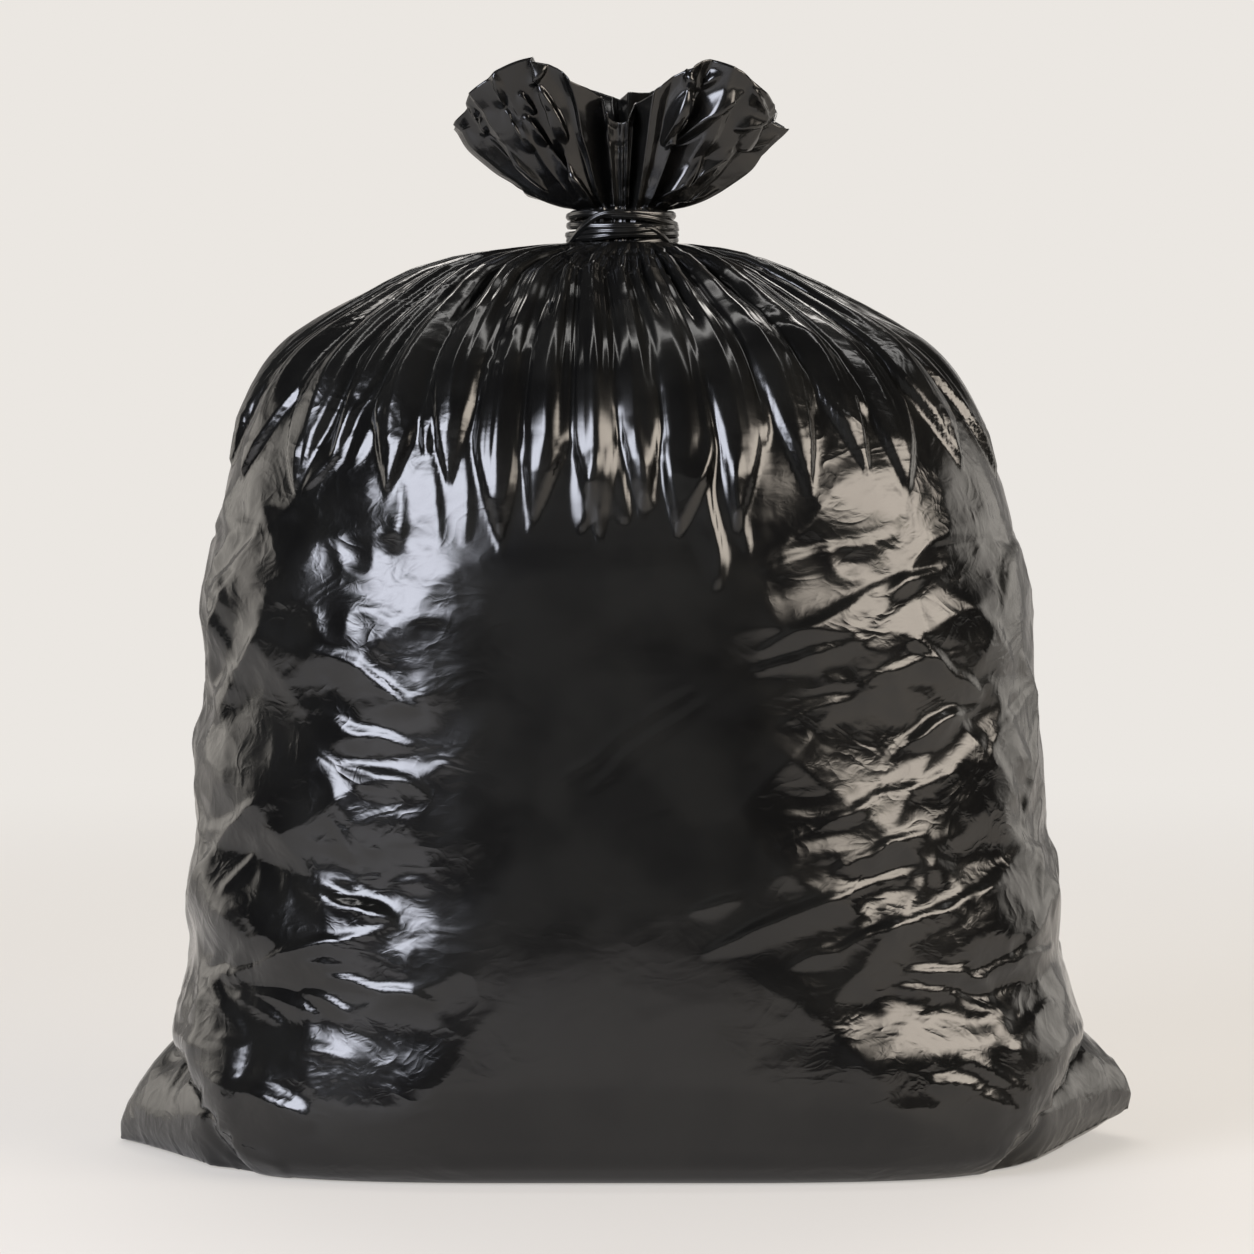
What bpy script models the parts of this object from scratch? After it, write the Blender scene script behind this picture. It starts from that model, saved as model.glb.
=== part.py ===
"""A full bin bag: a filled refuse sack, gathered at its neck and bound with a wound strip of film.

The sack is one folded and sealed piece of film, so it is one closed solid: a filled body with two sealed
corners that stick out at the floor, folds that hang over the shoulders and run up into the neck as pleats,
and an open ruff above the strip. Its skin is a stack of rings round the vertical axis. Every ring has one
point on each of the same columns, and four columns make one fold. The strip is a second solid, wound round
the neck.

Metres, +Z up. The origin is on the floor under the neck, the front faces -Y.
"""

import math

import bmesh
import bpy

# Filled body
BASE_HALF_WIDTH = 0.222
BASE_HALF_DEPTH = 0.142
BELLY_HALF_WIDTH = 0.273
BELLY_HALF_DEPTH = 0.198
CHEST_HALF_WIDTH = 0.251
CHEST_HALF_DEPTH = 0.186
HEEL_HEIGHT = 0.048
CHEST_HEIGHT = 0.355
CROWN_HEIGHT = 0.552
FLOOR_SQUARENESS = 2.6
CHEST_SQUARENESS = 2.15
SHOULDER_SQUARENESS = 2.05

# Broad slanting folds down the two sides. They fade out towards the middle of the front and the back.
SIDE_FOLD_DEPTH = 0.009
SIDE_FOLD_SLANT = 0.055
SIDE_FOLD_SINK = 0.3
SIDE_FOLD_START = 0.4

# Sealed corners at the floor
CORNER_REACH = 0.311
CORNER_FOOT_ANGLE = math.radians(35.0)
CORNER_TOP = 0.070
CORNER_TIP_HEIGHT = 0.018
RIGHT_CORNER_LIFT = 0.022

# Shoulder folds over half a turn: (degrees, height of the lower tip as a share of the shoulders' height).
# The other half turn has the same ones.
FOLD_TIPS = (
    (184, 0.32),
    (199, 0.28),
    (213, 0.24),
    (221, 0.31),
    (229, 0.22),
    (240, 0.26),
    (249, 0.07),
    (258, 0.12),
    (267, 0.08),
    (275, 0.14),
    (284, 0.11),
    (294, 0.13),
    (304, 0.23),
    (314, 0.28),
    (323, 0.23),
    (333, 0.30),
    (348, 0.28),
)
FOLD_THICKNESS = 0.0125
FOLD_THINNING = 0.032
FOLD_OPENING = 0.067
FOLD_LIP = 0.006
PLEAT_RISE = 0.36
PLEAT_LENGTH = 0.070
NECK_PLEAT_DEPTH = 0.0035
RUFF_PLEAT_DEPTH = 0.010

# Neck and the strip wound round it
NECK_RADIUS = 0.026
STRIP_HEIGHT = 0.0245
STRIP_THICKNESS = 0.0090
STRIP_RIDGE = 0.0013
STRIP_TURNS = 4
FIT_GAP = 0.0004

# Open ruff above the strip. Its hem: (degrees, share of the reach, share of the height)
RUFF_WALL = 0.0030
RUFF_REACH = 0.1005
RUFF_HEIGHT = 0.0900
RUFF_HEM = (
    (0, 0.985, 0.556),
    (22, 0.945, 0.800),
    (48, 0.836, 0.978),
    (70, 0.617, 0.867),
    (90, 0.537, 0.811),
    (112, 0.637, 0.889),
    (132, 0.836, 1.000),
    (158, 0.965, 0.778),
    (180, 1.000, 0.544),
    (202, 0.955, 0.756),
    (224, 0.846, 0.967),
    (248, 0.637, 0.778),
    (268, 0.498, 0.544),
    (292, 0.607, 0.778),
    (316, 0.816, 0.956),
    (338, 0.945, 0.767),
)
RUFF_THROAT_DEPTH = 0.012
HEM_ZIGZAG = 0.0022

# How finely each stretch is divided
HEEL_RINGS = 4
SIDE_RINGS = 8
SHOULDER_RINGS = 9
RUFF_RINGS = 5
STRIP_COLUMNS = 44

FULL_TURN = 2.0 * math.pi
QUARTER_TURN = 0.5 * math.pi


def smooth(share):
    """0 to 1 with level ends."""
    share = min(1.0, max(0.0, share))
    return share * share * (3.0 - 2.0 * share)


def mix(start, end, share):
    return start + (end - start) * share


def fold_columns():
    """One (angle, share of the shoulders' height at which the fold ends, crest) for each column of points
    round the sack. The crest is 1 on a fold's ridge and 0 in the valley before it."""
    tips = [(half + degrees, share) for half in (0, 180) for degrees, share in FOLD_TIPS]
    columns = []
    for k, (ridge, share) in enumerate(tips):
        before, share_before = tips[k - 1]
        if k == 0:
            before -= 360
        after = tips[k + 1][0] if k + 1 < len(tips) else tips[0][0] + 360
        columns.append((mix(before, ridge, 0.5), mix(share_before, share, 0.5), 0.0))
        columns.append((mix(before, ridge, 0.75), share, 0.5))
        columns.append((ridge, share, 1.0))
        columns.append((mix(ridge, after, 0.25), share, 0.5))
    return [(math.radians(degrees), share, crest) for degrees, share, crest in columns]


def valley_share(crest):
    """1 in the sharp valley between two folds, and 0 on a fold's ridge."""
    return (1.0 - crest) ** 1.6


def oval_radius(angle, half_width, half_depth, squareness):
    across = abs(math.cos(angle) / half_width) ** squareness
    along = abs(math.sin(angle) / half_depth) ** squareness
    return (across + along) ** (-1.0 / squareness)


def corner_radius(angle, reach, foot_radius):
    """The straight edge of a sealed corner, from its tip on the X axis to its foot below the belly."""
    foot_x = foot_radius * math.cos(CORNER_FOOT_ANGLE)
    foot_y = foot_radius * math.sin(CORNER_FOOT_ANGLE)
    toward_edge = abs(math.cos(angle)) * foot_y + abs(math.sin(angle)) * (reach - foot_x)
    return reach * foot_y / toward_edge


def corner_reach(height):
    """How far a sealed corner's tip stands out at a height above the floor."""
    rising = smooth(height / (0.4 * CORNER_TIP_HEIGHT))
    falling = min(1.0, (CORNER_TOP - height) / (CORNER_TOP - CORNER_TIP_HEIGHT))
    return BASE_HALF_WIDTH + (CORNER_REACH - BASE_HALF_WIDTH) * rising * max(0.0, falling) ** 0.7


def squareness(height):
    """The body's section is squarest on the floor and nearly an ellipse at the chest."""
    return mix(FLOOR_SQUARENESS, CHEST_SQUARENESS, smooth(height / CHEST_HEIGHT))


def side_point(angle, half_width, half_depth, height):
    """(radius, height) on the heel or the side of the sack, with its sealed corners."""
    power = squareness(height)
    radius = oval_radius(angle, half_width, half_depth, power)
    from_axis = math.acos(min(1.0, abs(math.cos(angle))))
    if 0.0 < height < CORNER_TOP and from_axis < CORNER_FOOT_ANGLE:
        foot_radius = oval_radius(CORNER_FOOT_ANGLE, BELLY_HALF_WIDTH, BELLY_HALF_DEPTH, power)
        radius = max(radius, corner_radius(angle, corner_reach(height), foot_radius))
        if math.cos(angle) > 0.0:
            toward_tip = 1.0 - from_axis / CORNER_FOOT_ANGLE
            height += RIGHT_CORNER_LIFT * toward_tip * (1.0 - height / CORNER_TOP)
    return radius, height


def base_rings(columns):
    """The flat patch that the sack stands on."""
    for share in (0.55, 1.0):
        ring = []
        for angle, _, _ in columns:
            radius = oval_radius(angle, BASE_HALF_WIDTH, BASE_HALF_DEPTH, FLOOR_SQUARENESS)
            ring.append((angle, radius * share, 0.0))
        yield ring


def heel_rings(columns):
    """The round edge between the flat patch and the widest part of the body."""
    for number in range(1, HEEL_RINGS + 1):
        turn = QUARTER_TURN * number / HEEL_RINGS
        half_width = mix(BASE_HALF_WIDTH, BELLY_HALF_WIDTH, math.sin(turn))
        half_depth = mix(BASE_HALF_DEPTH, BELLY_HALF_DEPTH, math.sin(turn))
        height = HEEL_HEIGHT * (1.0 - math.cos(turn))
        yield [(angle, *side_point(angle, half_width, half_depth, height)) for angle, _, _ in columns]


def side_fold(angle, number):
    """How far the film stands out at a ring of the sides: the odd rings run along the folds' ridges."""
    if number == SIDE_RINGS:
        return 0.0
    sideways = smooth((abs(math.cos(angle)) - SIDE_FOLD_START) / SIDE_FOLD_START)
    size = 0.75 + 0.25 * math.sin(2.4 * number + 2.0 * angle)
    return SIDE_FOLD_DEPTH * sideways * (size * (number % 2) - SIDE_FOLD_SINK)


def side_rings(columns):
    """The sides, from the heel up to the chest, where the shoulders begin."""
    for number in range(1, SIDE_RINGS + 1):
        share = number / SIDE_RINGS
        lean = share**1.4
        half_width = mix(BELLY_HALF_WIDTH, CHEST_HALF_WIDTH, lean)
        half_depth = mix(BELLY_HALF_DEPTH, CHEST_HALF_DEPTH, lean)
        ring = []
        for angle, _, _ in columns:
            drop = SIDE_FOLD_SLANT * math.sin(angle) ** 2 * math.sin(math.pi * share)
            height = mix(HEEL_HEIGHT, CHEST_HEIGHT, share) - drop
            radius, height = side_point(angle, half_width, half_depth, height)
            ring.append((angle, radius + side_fold(angle, number), height))
        yield ring


def fold_relief(above, turn, radius, crest):
    """How far the film stands out of the shoulder, at a length above the fold's tip. A fold is thickest at
    its tip. Higher up it is a pleat, which sinks into the neck."""
    half_pitch = math.pi * radius / (2 * len(FOLD_TIPS))
    pleat = PLEAT_RISE * half_pitch
    sinking = smooth((turn - 0.75 * QUARTER_TURN) / (0.25 * QUARTER_TURN))
    leaf = 0.0
    if crest > 0.0:
        leaf = FOLD_THICKNESS * (0.2 + 0.8 * math.exp(-above / FOLD_THINNING))
        leaf = min(leaf, 0.5 * half_pitch) * mix(0.7, 1.0, crest) * (1.0 - sinking)
    return leaf + pleat * smooth(above / PLEAT_LENGTH - 0.2) * crest - pleat * sinking


def shoulder_point(column, turn, relief):
    """(angle, radius, height) on the shoulder, which curves in to the neck over a quarter turn."""
    angle = column[0]
    power = 2.0 / SHOULDER_SQUARENESS
    chest = oval_radius(angle, CHEST_HALF_WIDTH, CHEST_HALF_DEPTH, CHEST_SQUARENESS)
    radius = mix(chest, NECK_RADIUS, 1.0 - max(0.0, math.cos(turn)) ** power)
    height = mix(CHEST_HEIGHT, CROWN_HEIGHT, math.sin(turn) ** power)
    return angle, radius + relief * math.cos(turn), height + relief * math.sin(turn)


def shoulder_rings(columns):
    """The shoulders: two rings under the folds, one along their lips, and the others up to the neck."""
    film_per_turn = 0.5 * (CHEST_HALF_WIDTH - NECK_RADIUS + CROWN_HEIGHT - CHEST_HEIGHT)
    lip = FOLD_LIP / film_per_turn
    for number in range(-1, SHOULDER_RINGS + 1):
        ring = []
        for column in columns:
            tip = math.asin(column[1] ** (0.5 * SHOULDER_SQUARENESS))
            foot = tip + FOLD_OPENING / film_per_turn * (1.0 - column[2]) ** 1.4
            if number < 1:
                ring.append(shoulder_point(column, foot * (0.5 if number < 0 else 1.0), 0.0))
                continue
            turn = mix(foot + lip, QUARTER_TURN, (number - 1) / (SHOULDER_RINGS - 1))
            radius = shoulder_point(column, turn, 0.0)[1]
            relief = fold_relief((turn - tip) * film_per_turn, turn, radius, column[2])
            ring.append(shoulder_point(column, turn, relief))
        yield ring


def neck_rings(columns):
    """The gathered neck inside the strip, a little below and above which it opens out."""
    low = CROWN_HEIGHT + FIT_GAP
    for height in (low, low + STRIP_HEIGHT + FIT_GAP):
        ring = []
        for angle, _, crest in columns:
            ring.append((angle, NECK_RADIUS - NECK_PLEAT_DEPTH * valley_share(crest), height))
        yield ring


def ruff_foot():
    """The height at which the ruff leaves the neck, just above the strip."""
    return CROWN_HEIGHT + STRIP_HEIGHT + 2.0 * FIT_GAP


def hem_at(angle):
    """(radius, height above the strip) of the ruff's hem, on a smooth closed curve through RUFF_HEM."""
    degrees = math.degrees(angle) % 360.0
    count = len(RUFF_HEM)
    last = max(n for n in range(count) if RUFF_HEM[n][0] <= degrees)
    points = [RUFF_HEM[(last + n) % count] for n in (-1, 0, 1, 2)]
    span = (points[2][0] - points[1][0]) % 360
    share = (degrees - points[1][0]) / span

    def between(before, start, end, after):
        bend = 2 * before - 5 * start + 4 * end - after
        twist = 3 * start - before - 3 * end + after
        return 0.5 * (2 * start + (end - before) * share + bend * share**2 + twist * share**3)

    reach, rise = (between(*(point[n] for point in points)) for n in (1, 2))
    return RUFF_REACH * reach, RUFF_HEIGHT * rise


def ruff_point(column, share):
    """(radius, height) on the outer side of the ruff, from the neck at share 0 to the hem at share 1."""
    angle, _, crest = column
    hem_radius, hem_height = hem_at(angle)
    radius = mix(NECK_RADIUS, hem_radius, share**0.92)
    height = ruff_foot() + hem_height * share**1.08
    neck_valley = NECK_PLEAT_DEPTH * (1.0 - share)
    ruff_valley = RUFF_PLEAT_DEPTH * math.sin(QUARTER_TURN * share)
    radius -= (neck_valley + ruff_valley) * valley_share(crest)
    return radius, height + HEM_ZIGZAG * (2.0 * crest - 1.0) * share


def ruff_rings(columns):
    """The ruff's outer side going up to the hem, and its inner side going back down into the throat."""
    shares = [number / RUFF_RINGS for number in range(1, RUFF_RINGS + 1)]
    for share in shares:
        yield [(column[0], *ruff_point(column, share)) for column in columns]
    for share in reversed(shares):
        ring = []
        for column in columns:
            radius, height = ruff_point(column, share)
            hem_radius, hem_height = hem_at(column[0])
            slope = math.atan2(hem_height, hem_radius - NECK_RADIUS)
            inner = max(radius - RUFF_WALL * math.sin(slope), 0.25 * radius)
            ring.append((column[0], inner, height + RUFF_WALL * math.cos(slope)))
        yield ring


def skin(name, rings, bottom_height, top_height):
    """A closed mesh through rings of (angle, radius, height), with a point closing each end."""
    model = bmesh.new()
    loops = []
    for ring in rings:
        loops.append([model.verts.new((r * math.cos(a), r * math.sin(a), h)) for a, r, h in ring])
    count = len(loops[0])
    for lower, upper in zip(loops, loops[1:]):
        for n in range(count):
            model.faces.new((lower[n], lower[(n + 1) % count], upper[(n + 1) % count], upper[n]))
    bottom = model.verts.new((0.0, 0.0, bottom_height))
    top = model.verts.new((0.0, 0.0, top_height))
    for n in range(count):
        model.faces.new((bottom, loops[0][(n + 1) % count], loops[0][n]))
        model.faces.new((top, loops[-1][n], loops[-1][(n + 1) % count]))
    return finished(name, model)


def finished(name, model):
    """Turns a bmesh into a smooth-shaded object of the scene."""
    bmesh.ops.recalc_face_normals(model, faces=model.faces)
    mesh = bpy.data.meshes.new(name)
    model.to_mesh(mesh)
    model.free()
    mesh.shade_smooth()
    mesh.set_sharp_from_angle(angle=math.radians(35.0))
    made = bpy.data.objects.new(name, mesh)
    bpy.context.scene.collection.objects.link(made)
    return made


def plastic(name, colour, roughness):
    material = bpy.data.materials.new(name)
    material.use_nodes = True
    shader = material.node_tree.nodes["Principled BSDF"]
    shader.inputs["Base Color"].default_value = (*colour, 1.0)
    shader.inputs["Roughness"].default_value = roughness
    shader.inputs["Metallic"].default_value = 0.0
    return material


def sack():
    columns = fold_columns()
    rings = [
        *base_rings(columns),
        *heel_rings(columns),
        *side_rings(columns),
        *shoulder_rings(columns),
        *neck_rings(columns),
        *ruff_rings(columns),
    ]
    throat = ruff_foot() + RUFF_THROAT_DEPTH
    made = skin("sack", rings, 0.0, throat)
    made.data.materials.append(plastic("black_film", (0.012, 0.012, 0.012), 0.25))
    return made


def strip_outline(angle):
    """The strip's section at an angle, as (radius, height) points: a flat bore and a ridge for each turn."""
    low = CROWN_HEIGHT + 2.0 * FIT_GAP
    high = low + STRIP_HEIGHT - FIT_GAP
    bore = NECK_RADIUS + FIT_GAP
    face = bore + STRIP_THICKNESS - STRIP_RIDGE
    points = [(bore, low), (bore, high)]
    points.append((mix(bore, face, 0.55), high))
    crossing = 0.5 * math.sin(angle + math.radians(35.0))
    steps = 3 * STRIP_TURNS
    for number in range(steps + 1):
        share = number / steps
        rounding = math.sin(math.pi * mix(0.12, 0.88, share)) ** 0.5
        ridge = STRIP_RIDGE * abs(math.sin(math.pi * (STRIP_TURNS * share + crossing)))
        points.append((mix(bore, face, rounding) + ridge, mix(high, low, mix(0.04, 0.96, share))))
    points.append((mix(bore, face, 0.55), low))
    return points


def strip():
    """The wound strip: its section carried round the neck as a closed ring."""
    model = bmesh.new()
    sections = []
    for number in range(STRIP_COLUMNS):
        angle = FULL_TURN * number / STRIP_COLUMNS
        outline = strip_outline(angle)
        sections.append([model.verts.new((r * math.cos(angle), r * math.sin(angle), h)) for r, h in outline])
    for here, following in zip(sections, sections[1:] + sections[:1]):
        count = len(here)
        for n in range(count):
            model.faces.new((here[n], following[n], following[(n + 1) % count], here[(n + 1) % count]))
    made = finished("neck_strip", model)
    made.data.materials.append(plastic("black_strip", (0.010, 0.010, 0.010), 0.20))
    return made


def main():
    for old in list(bpy.data.objects):
        bpy.data.objects.remove(old, do_unlink=True)
    sack()
    strip()


main()
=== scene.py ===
"""Looks for the full bin bag: creased film round the filled body, the wound strip and a plain studio.

The film is laid out on a grid that goes round the sack in columns and from its sealed seam to its open
hem in rows. It is then simulated as a sheet that hardly stretches, pushed out by the filling, cut a little
longer than the shape it covers, so that it buckles into creases.

Metres, +Z up, the front faces -Y.
"""

import math

import bpy
import numpy as np
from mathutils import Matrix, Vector


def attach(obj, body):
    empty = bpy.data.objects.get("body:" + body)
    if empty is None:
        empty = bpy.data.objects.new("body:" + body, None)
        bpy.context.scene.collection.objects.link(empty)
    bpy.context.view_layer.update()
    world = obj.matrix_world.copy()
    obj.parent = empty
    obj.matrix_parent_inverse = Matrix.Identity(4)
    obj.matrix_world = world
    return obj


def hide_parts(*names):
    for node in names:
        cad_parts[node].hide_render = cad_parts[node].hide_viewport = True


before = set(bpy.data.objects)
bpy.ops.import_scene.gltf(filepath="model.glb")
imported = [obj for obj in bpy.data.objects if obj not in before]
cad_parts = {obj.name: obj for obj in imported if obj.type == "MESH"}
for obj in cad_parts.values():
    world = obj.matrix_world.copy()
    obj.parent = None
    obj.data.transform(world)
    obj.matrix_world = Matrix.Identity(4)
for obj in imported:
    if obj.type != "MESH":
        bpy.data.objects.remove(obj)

bl_info = {
    "name": "Bin bag looks",
    "version": (1, 0, 0),
    "blender": (4, 5, 0),
    "location": "View3D > Sidebar > Bin bag",
    "description": "Creased film, wound strip and studio for the full bin bag",
    "category": "Object",
}

FULL_TURN = 2.0 * math.pi
# The camera's place, what it looks at and its lens in millimetres
CAMERA_PLACE = (0.0, -2.6, 0.42)
CAMERA_AIM = (0.003, 0.0, 0.32)
CAMERA_LENS = 120.0

# Outline of the filled body as the photograph shows it: (height, half width)
BODY_OUTLINE = np.array([
    (0.000, 0.2360), (0.006, 0.2500), (0.014, 0.2600), (0.028, 0.2680), (0.048, 0.2725), (0.064, 0.2735),
    (0.100, 0.2700), (0.132, 0.2665), (0.213, 0.2605), (0.275, 0.2570), (0.337, 0.2535), (0.375, 0.2485),
    (0.400, 0.2430), (0.423, 0.2360), (0.442, 0.2280), (0.461, 0.2175), (0.4835, 0.199), (0.505, 0.1740),
    (0.5165, 0.158), (0.530, 0.1360), (0.540, 0.1165), (0.5475, 0.0960), (0.552, 0.0760), (0.5545, 0.0560),
    (0.5560, 0.0400), (0.5565, 0.030),
])
# How deep each section is for its width, and how square: (height, value)
BODY_DEPTH = np.array([
    (0.0, 0.68), (0.014, 0.692), (0.048, 0.722), (0.064, 0.722), (0.1, 0.7305), (0.13, 0.737), (0.16, 0.739),
    (0.2, 0.739), (0.3, 0.734), (0.38, 0.7455), (0.46, 0.77), (0.52, 0.82), (0.55, 0.92), (0.5565, 1.0),
])
BODY_SQUARENESS = np.array([
    (0.0, 4.2), (0.03, 3.3), (0.064, 2.7), (0.1, 2.5), (0.2, 2.3), (0.38, 2.15), (0.5, 2.05), (0.57, 2.0),
])
TOP_OF_BODY = 0.5562
# Heights at which a column of film is laid out, closest where the body turns most
BODY_HEIGHTS = np.concatenate([
    [0.0, 0.003, 0.006, 0.010, 0.014, 0.020, 0.028, 0.038, 0.048], np.arange(0.06, 0.40, 0.01),
    np.arange(0.40, 0.50, 0.005), np.arange(0.50, 0.5555, 0.0025), [TOP_OF_BODY],
])
# How far the sack leans to the right, by height
LEAN = np.array([
    (0.0, 0.002), (0.07, 0.003), (0.17, 0.0), (0.25, -0.0025), (0.40, -0.0045), (0.44, -0.006),
    (0.49, -0.0075), (0.517, -0.010), (0.538, -0.012), (0.550, -0.008), (0.5565, 0.0),
])

# The shoulder folds over half a turn, as in the part's source: (degrees, share of the shoulders' height).
# The other half turn has the same ones.
FOLD_TIPS = (
    (184, 0.32), (199, 0.28), (213, 0.24), (221, 0.31), (229, 0.22), (240, 0.26), (249, 0.07), (258, 0.12),
    (267, 0.08), (275, 0.14), (284, 0.11), (294, 0.13), (304, 0.23), (314, 0.28), (323, 0.23), (333, 0.30),
    (348, 0.28),
)
SHOULDER_FOOT = 0.355
SHOULDER_HEIGHT = 0.197
# Each fold is a leaf: ranges of its thickness, and of the length over which it widens above its tip
LEAF_THICKNESS = (0.0085, 0.0135)
LEAF_REACH = (0.045, 0.085)
LEAF_EDGE = 0.0040
# The pleats that gather towards the neck, and the sharp creases between them. A pleat's depth is a share
# of the body's radius, and the film also sinks a little towards the strip.
NECK_PLEATS = 29
NECK_PLEAT_DEPTH = 0.10
NECK_CREASES = 46
NECK_CREASE_DEPTH = 0.0022
NECK_SINK = 0.0045

# Broad folds down the two sides, in the same places as in the part's source
HEEL_HEIGHT = 0.048
SIDE_ROWS = 8
SIDE_FOLD_DEPTH = 0.0065
SIDE_FOLD_SLANT = 0.055
SIDE_FOLD_SINK = 0.45
SIDE_FOLD_START = 0.4
# Smaller folds scattered over each side: how many, and ranges of their half width and depth
SMALL_FOLDS = 30
SMALL_FOLD_WIDTH = (0.007, 0.012)
SMALL_FOLD_DEPTH = (0.0010, 0.0026)
# How far the refuse pushes broad lumps out, and how far from straight the folds wander, broadly and finely
LUMP_HEIGHT = 0.0040
FOLD_WANDER = 0.006
FOLD_RAGGEDNESS = 0.0022
# Ridges of crushed film: (cells round the sack, cells up it, depth, how much the ridges lean)
CRUMPLES = ((16, 8, 0.0034, 1.6), (30, 17, 0.0028, -2.2), (62, 38, 0.0012, 1.2))

# Folds and dents of the film, placed as they look from the camera's place on the plane through the sack's
# middle: (x, height, x, height, half width, depth)
FRONT_FOLDS = np.array([
    (0.062, 0.534, 0.148, 0.458, 0.0050, 0.0030), (0.064, 0.520, 0.139, 0.445, 0.0037, 0.0025),
    (0.052, 0.442, 0.056, 0.342, 0.0056, 0.0050), (0.070, 0.430, 0.075, 0.366, 0.0037, 0.0030),
    (-0.015, 0.433, -0.021, 0.380, 0.0043, 0.0040), (-0.004, 0.436, 0.004, 0.385, 0.0062, 0.0040),
    (0.005, 0.448, 0.020, 0.397, 0.0043, 0.0035), (-0.075, 0.530, -0.113, 0.500, 0.0037, 0.0014),
    (-0.060, 0.510, -0.105, 0.470, 0.0031, 0.0010), (-0.041, 0.498, -0.094, 0.473, 0.0037, 0.0010),
    (-0.164, 0.456, -0.197, 0.401, 0.0043, 0.0040), (-0.140, 0.466, -0.172, 0.425, 0.0056, 0.0035),
    (-0.099, 0.436, -0.094, 0.371, 0.0050, 0.0020), (-0.119, 0.442, -0.113, 0.361, 0.0043, 0.0015),
    (-0.199, 0.306, -0.125, 0.272, 0.0074, 0.0030), (-0.186, 0.257, -0.132, 0.245, 0.0062, 0.0030),
    (-0.171, 0.233, -0.122, 0.215, 0.0056, 0.0025), (-0.183, 0.203, -0.168, 0.174, 0.0043, 0.0020),
    (-0.202, 0.161, -0.144, 0.135, 0.0074, 0.0050), (-0.192, 0.108, -0.168, 0.106, 0.0037, 0.0020),
    (-0.186, 0.099, -0.116, 0.086, 0.0037, 0.0022), (-0.229, 0.094, -0.187, 0.070, 0.0074, 0.0040),
    (-0.199, 0.087, -0.167, 0.075, 0.0050, 0.0030), (-0.259, 0.099, -0.237, 0.066, 0.0062, 0.0035),
    (-0.238, 0.091, -0.212, 0.069, 0.0056, 0.0030), (-0.202, 0.056, -0.167, 0.046, 0.0037, 0.0022),
    (-0.251, 0.038, -0.189, 0.002, 0.0087, 0.0050), (-0.244, -0.004, -0.204, -0.023, 0.0056, 0.0035),
    (-0.258, 0.095, -0.137, 0.135, 0.0056, 0.0025), (-0.264, 0.188, -0.223, 0.213, 0.0056, 0.0030),
    (-0.261, 0.262, -0.223, 0.312, 0.0062, 0.0030), (-0.253, 0.337, -0.223, 0.386, 0.0056, 0.0025),
    (-0.248, 0.151, -0.230, 0.182, 0.0043, 0.0025), (0.127, 0.168, 0.194, 0.193, 0.0050, 0.0025),
    (0.152, 0.174, 0.179, 0.187, 0.0037, 0.0020), (0.049, 0.113, 0.191, 0.174, 0.0056, 0.0025),
    (0.103, 0.106, 0.242, 0.161, 0.0056, 0.0030), (0.176, 0.099, 0.228, 0.095, 0.0050, 0.0030),
    (0.170, 0.089, 0.237, 0.077, 0.0043, 0.0025), (0.191, 0.030, 0.250, 0.020, 0.0068, 0.0040),
    (0.209, 0.045, 0.261, 0.027, 0.0050, 0.0025), (0.174, 0.312, 0.221, 0.280, 0.0062, 0.0035),
    (0.176, 0.249, 0.221, 0.275, 0.0056, 0.0035), (0.140, 0.281, 0.211, 0.309, 0.0050, 0.0025),
    (0.165, 0.242, 0.211, 0.271, 0.0050, 0.0025), (0.077, 0.294, 0.149, 0.312, 0.0050, 0.0020),
    (0.092, 0.262, 0.160, 0.282, 0.0050, 0.0020), (-0.038, 0.223, 0.044, 0.282, 0.0043, 0.0007),
    (-0.018, 0.218, 0.051, 0.275, 0.0037, 0.0006), (0.042, 0.143, 0.076, 0.152, 0.0037, 0.0012),
    (0.083, 0.308, 0.194, 0.358, 0.0050, 0.0018), (0.080, 0.355, 0.176, 0.381, 0.0050, 0.0016),
    (0.160, 0.337, 0.204, 0.361, 0.0050, 0.0025), (0.228, 0.237, 0.253, 0.281, 0.0056, 0.0030),
    (0.225, 0.151, 0.259, 0.182, 0.0056, 0.0030), (0.235, 0.324, 0.247, 0.386, 0.0050, 0.0025),
    (0.210, 0.089, 0.266, 0.120, 0.0056, 0.0030), (0.241, 0.051, 0.266, 0.089, 0.0056, 0.0030),
    (0.142, 0.210, 0.210, 0.231, 0.0050, 0.0020), (0.098, 0.182, 0.154, 0.213, 0.0043, 0.0016),
    (-0.137, 0.411, -0.142, 0.361, 0.0062, 0.0020),
])

# The hem of the ruff: (degrees round the neck, radius, height above the strip)
RUFF_HEM = np.array([
    (0, 0.1040, 0.050), (22, 0.0990, 0.072), (48, 0.0850, 0.088), (70, 0.0620, 0.078), (90, 0.0540, 0.073),
    (112, 0.0640, 0.080), (132, 0.0860, 0.090), (158, 0.1030, 0.070), (180, 0.1085, 0.049),
    (202, 0.1030, 0.068), (224, 0.0870, 0.087), (248, 0.0640, 0.070), (268, 0.0500, 0.049),
    (292, 0.0610, 0.070), (316, 0.0840, 0.086), (338, 0.0990, 0.069),
])

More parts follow.
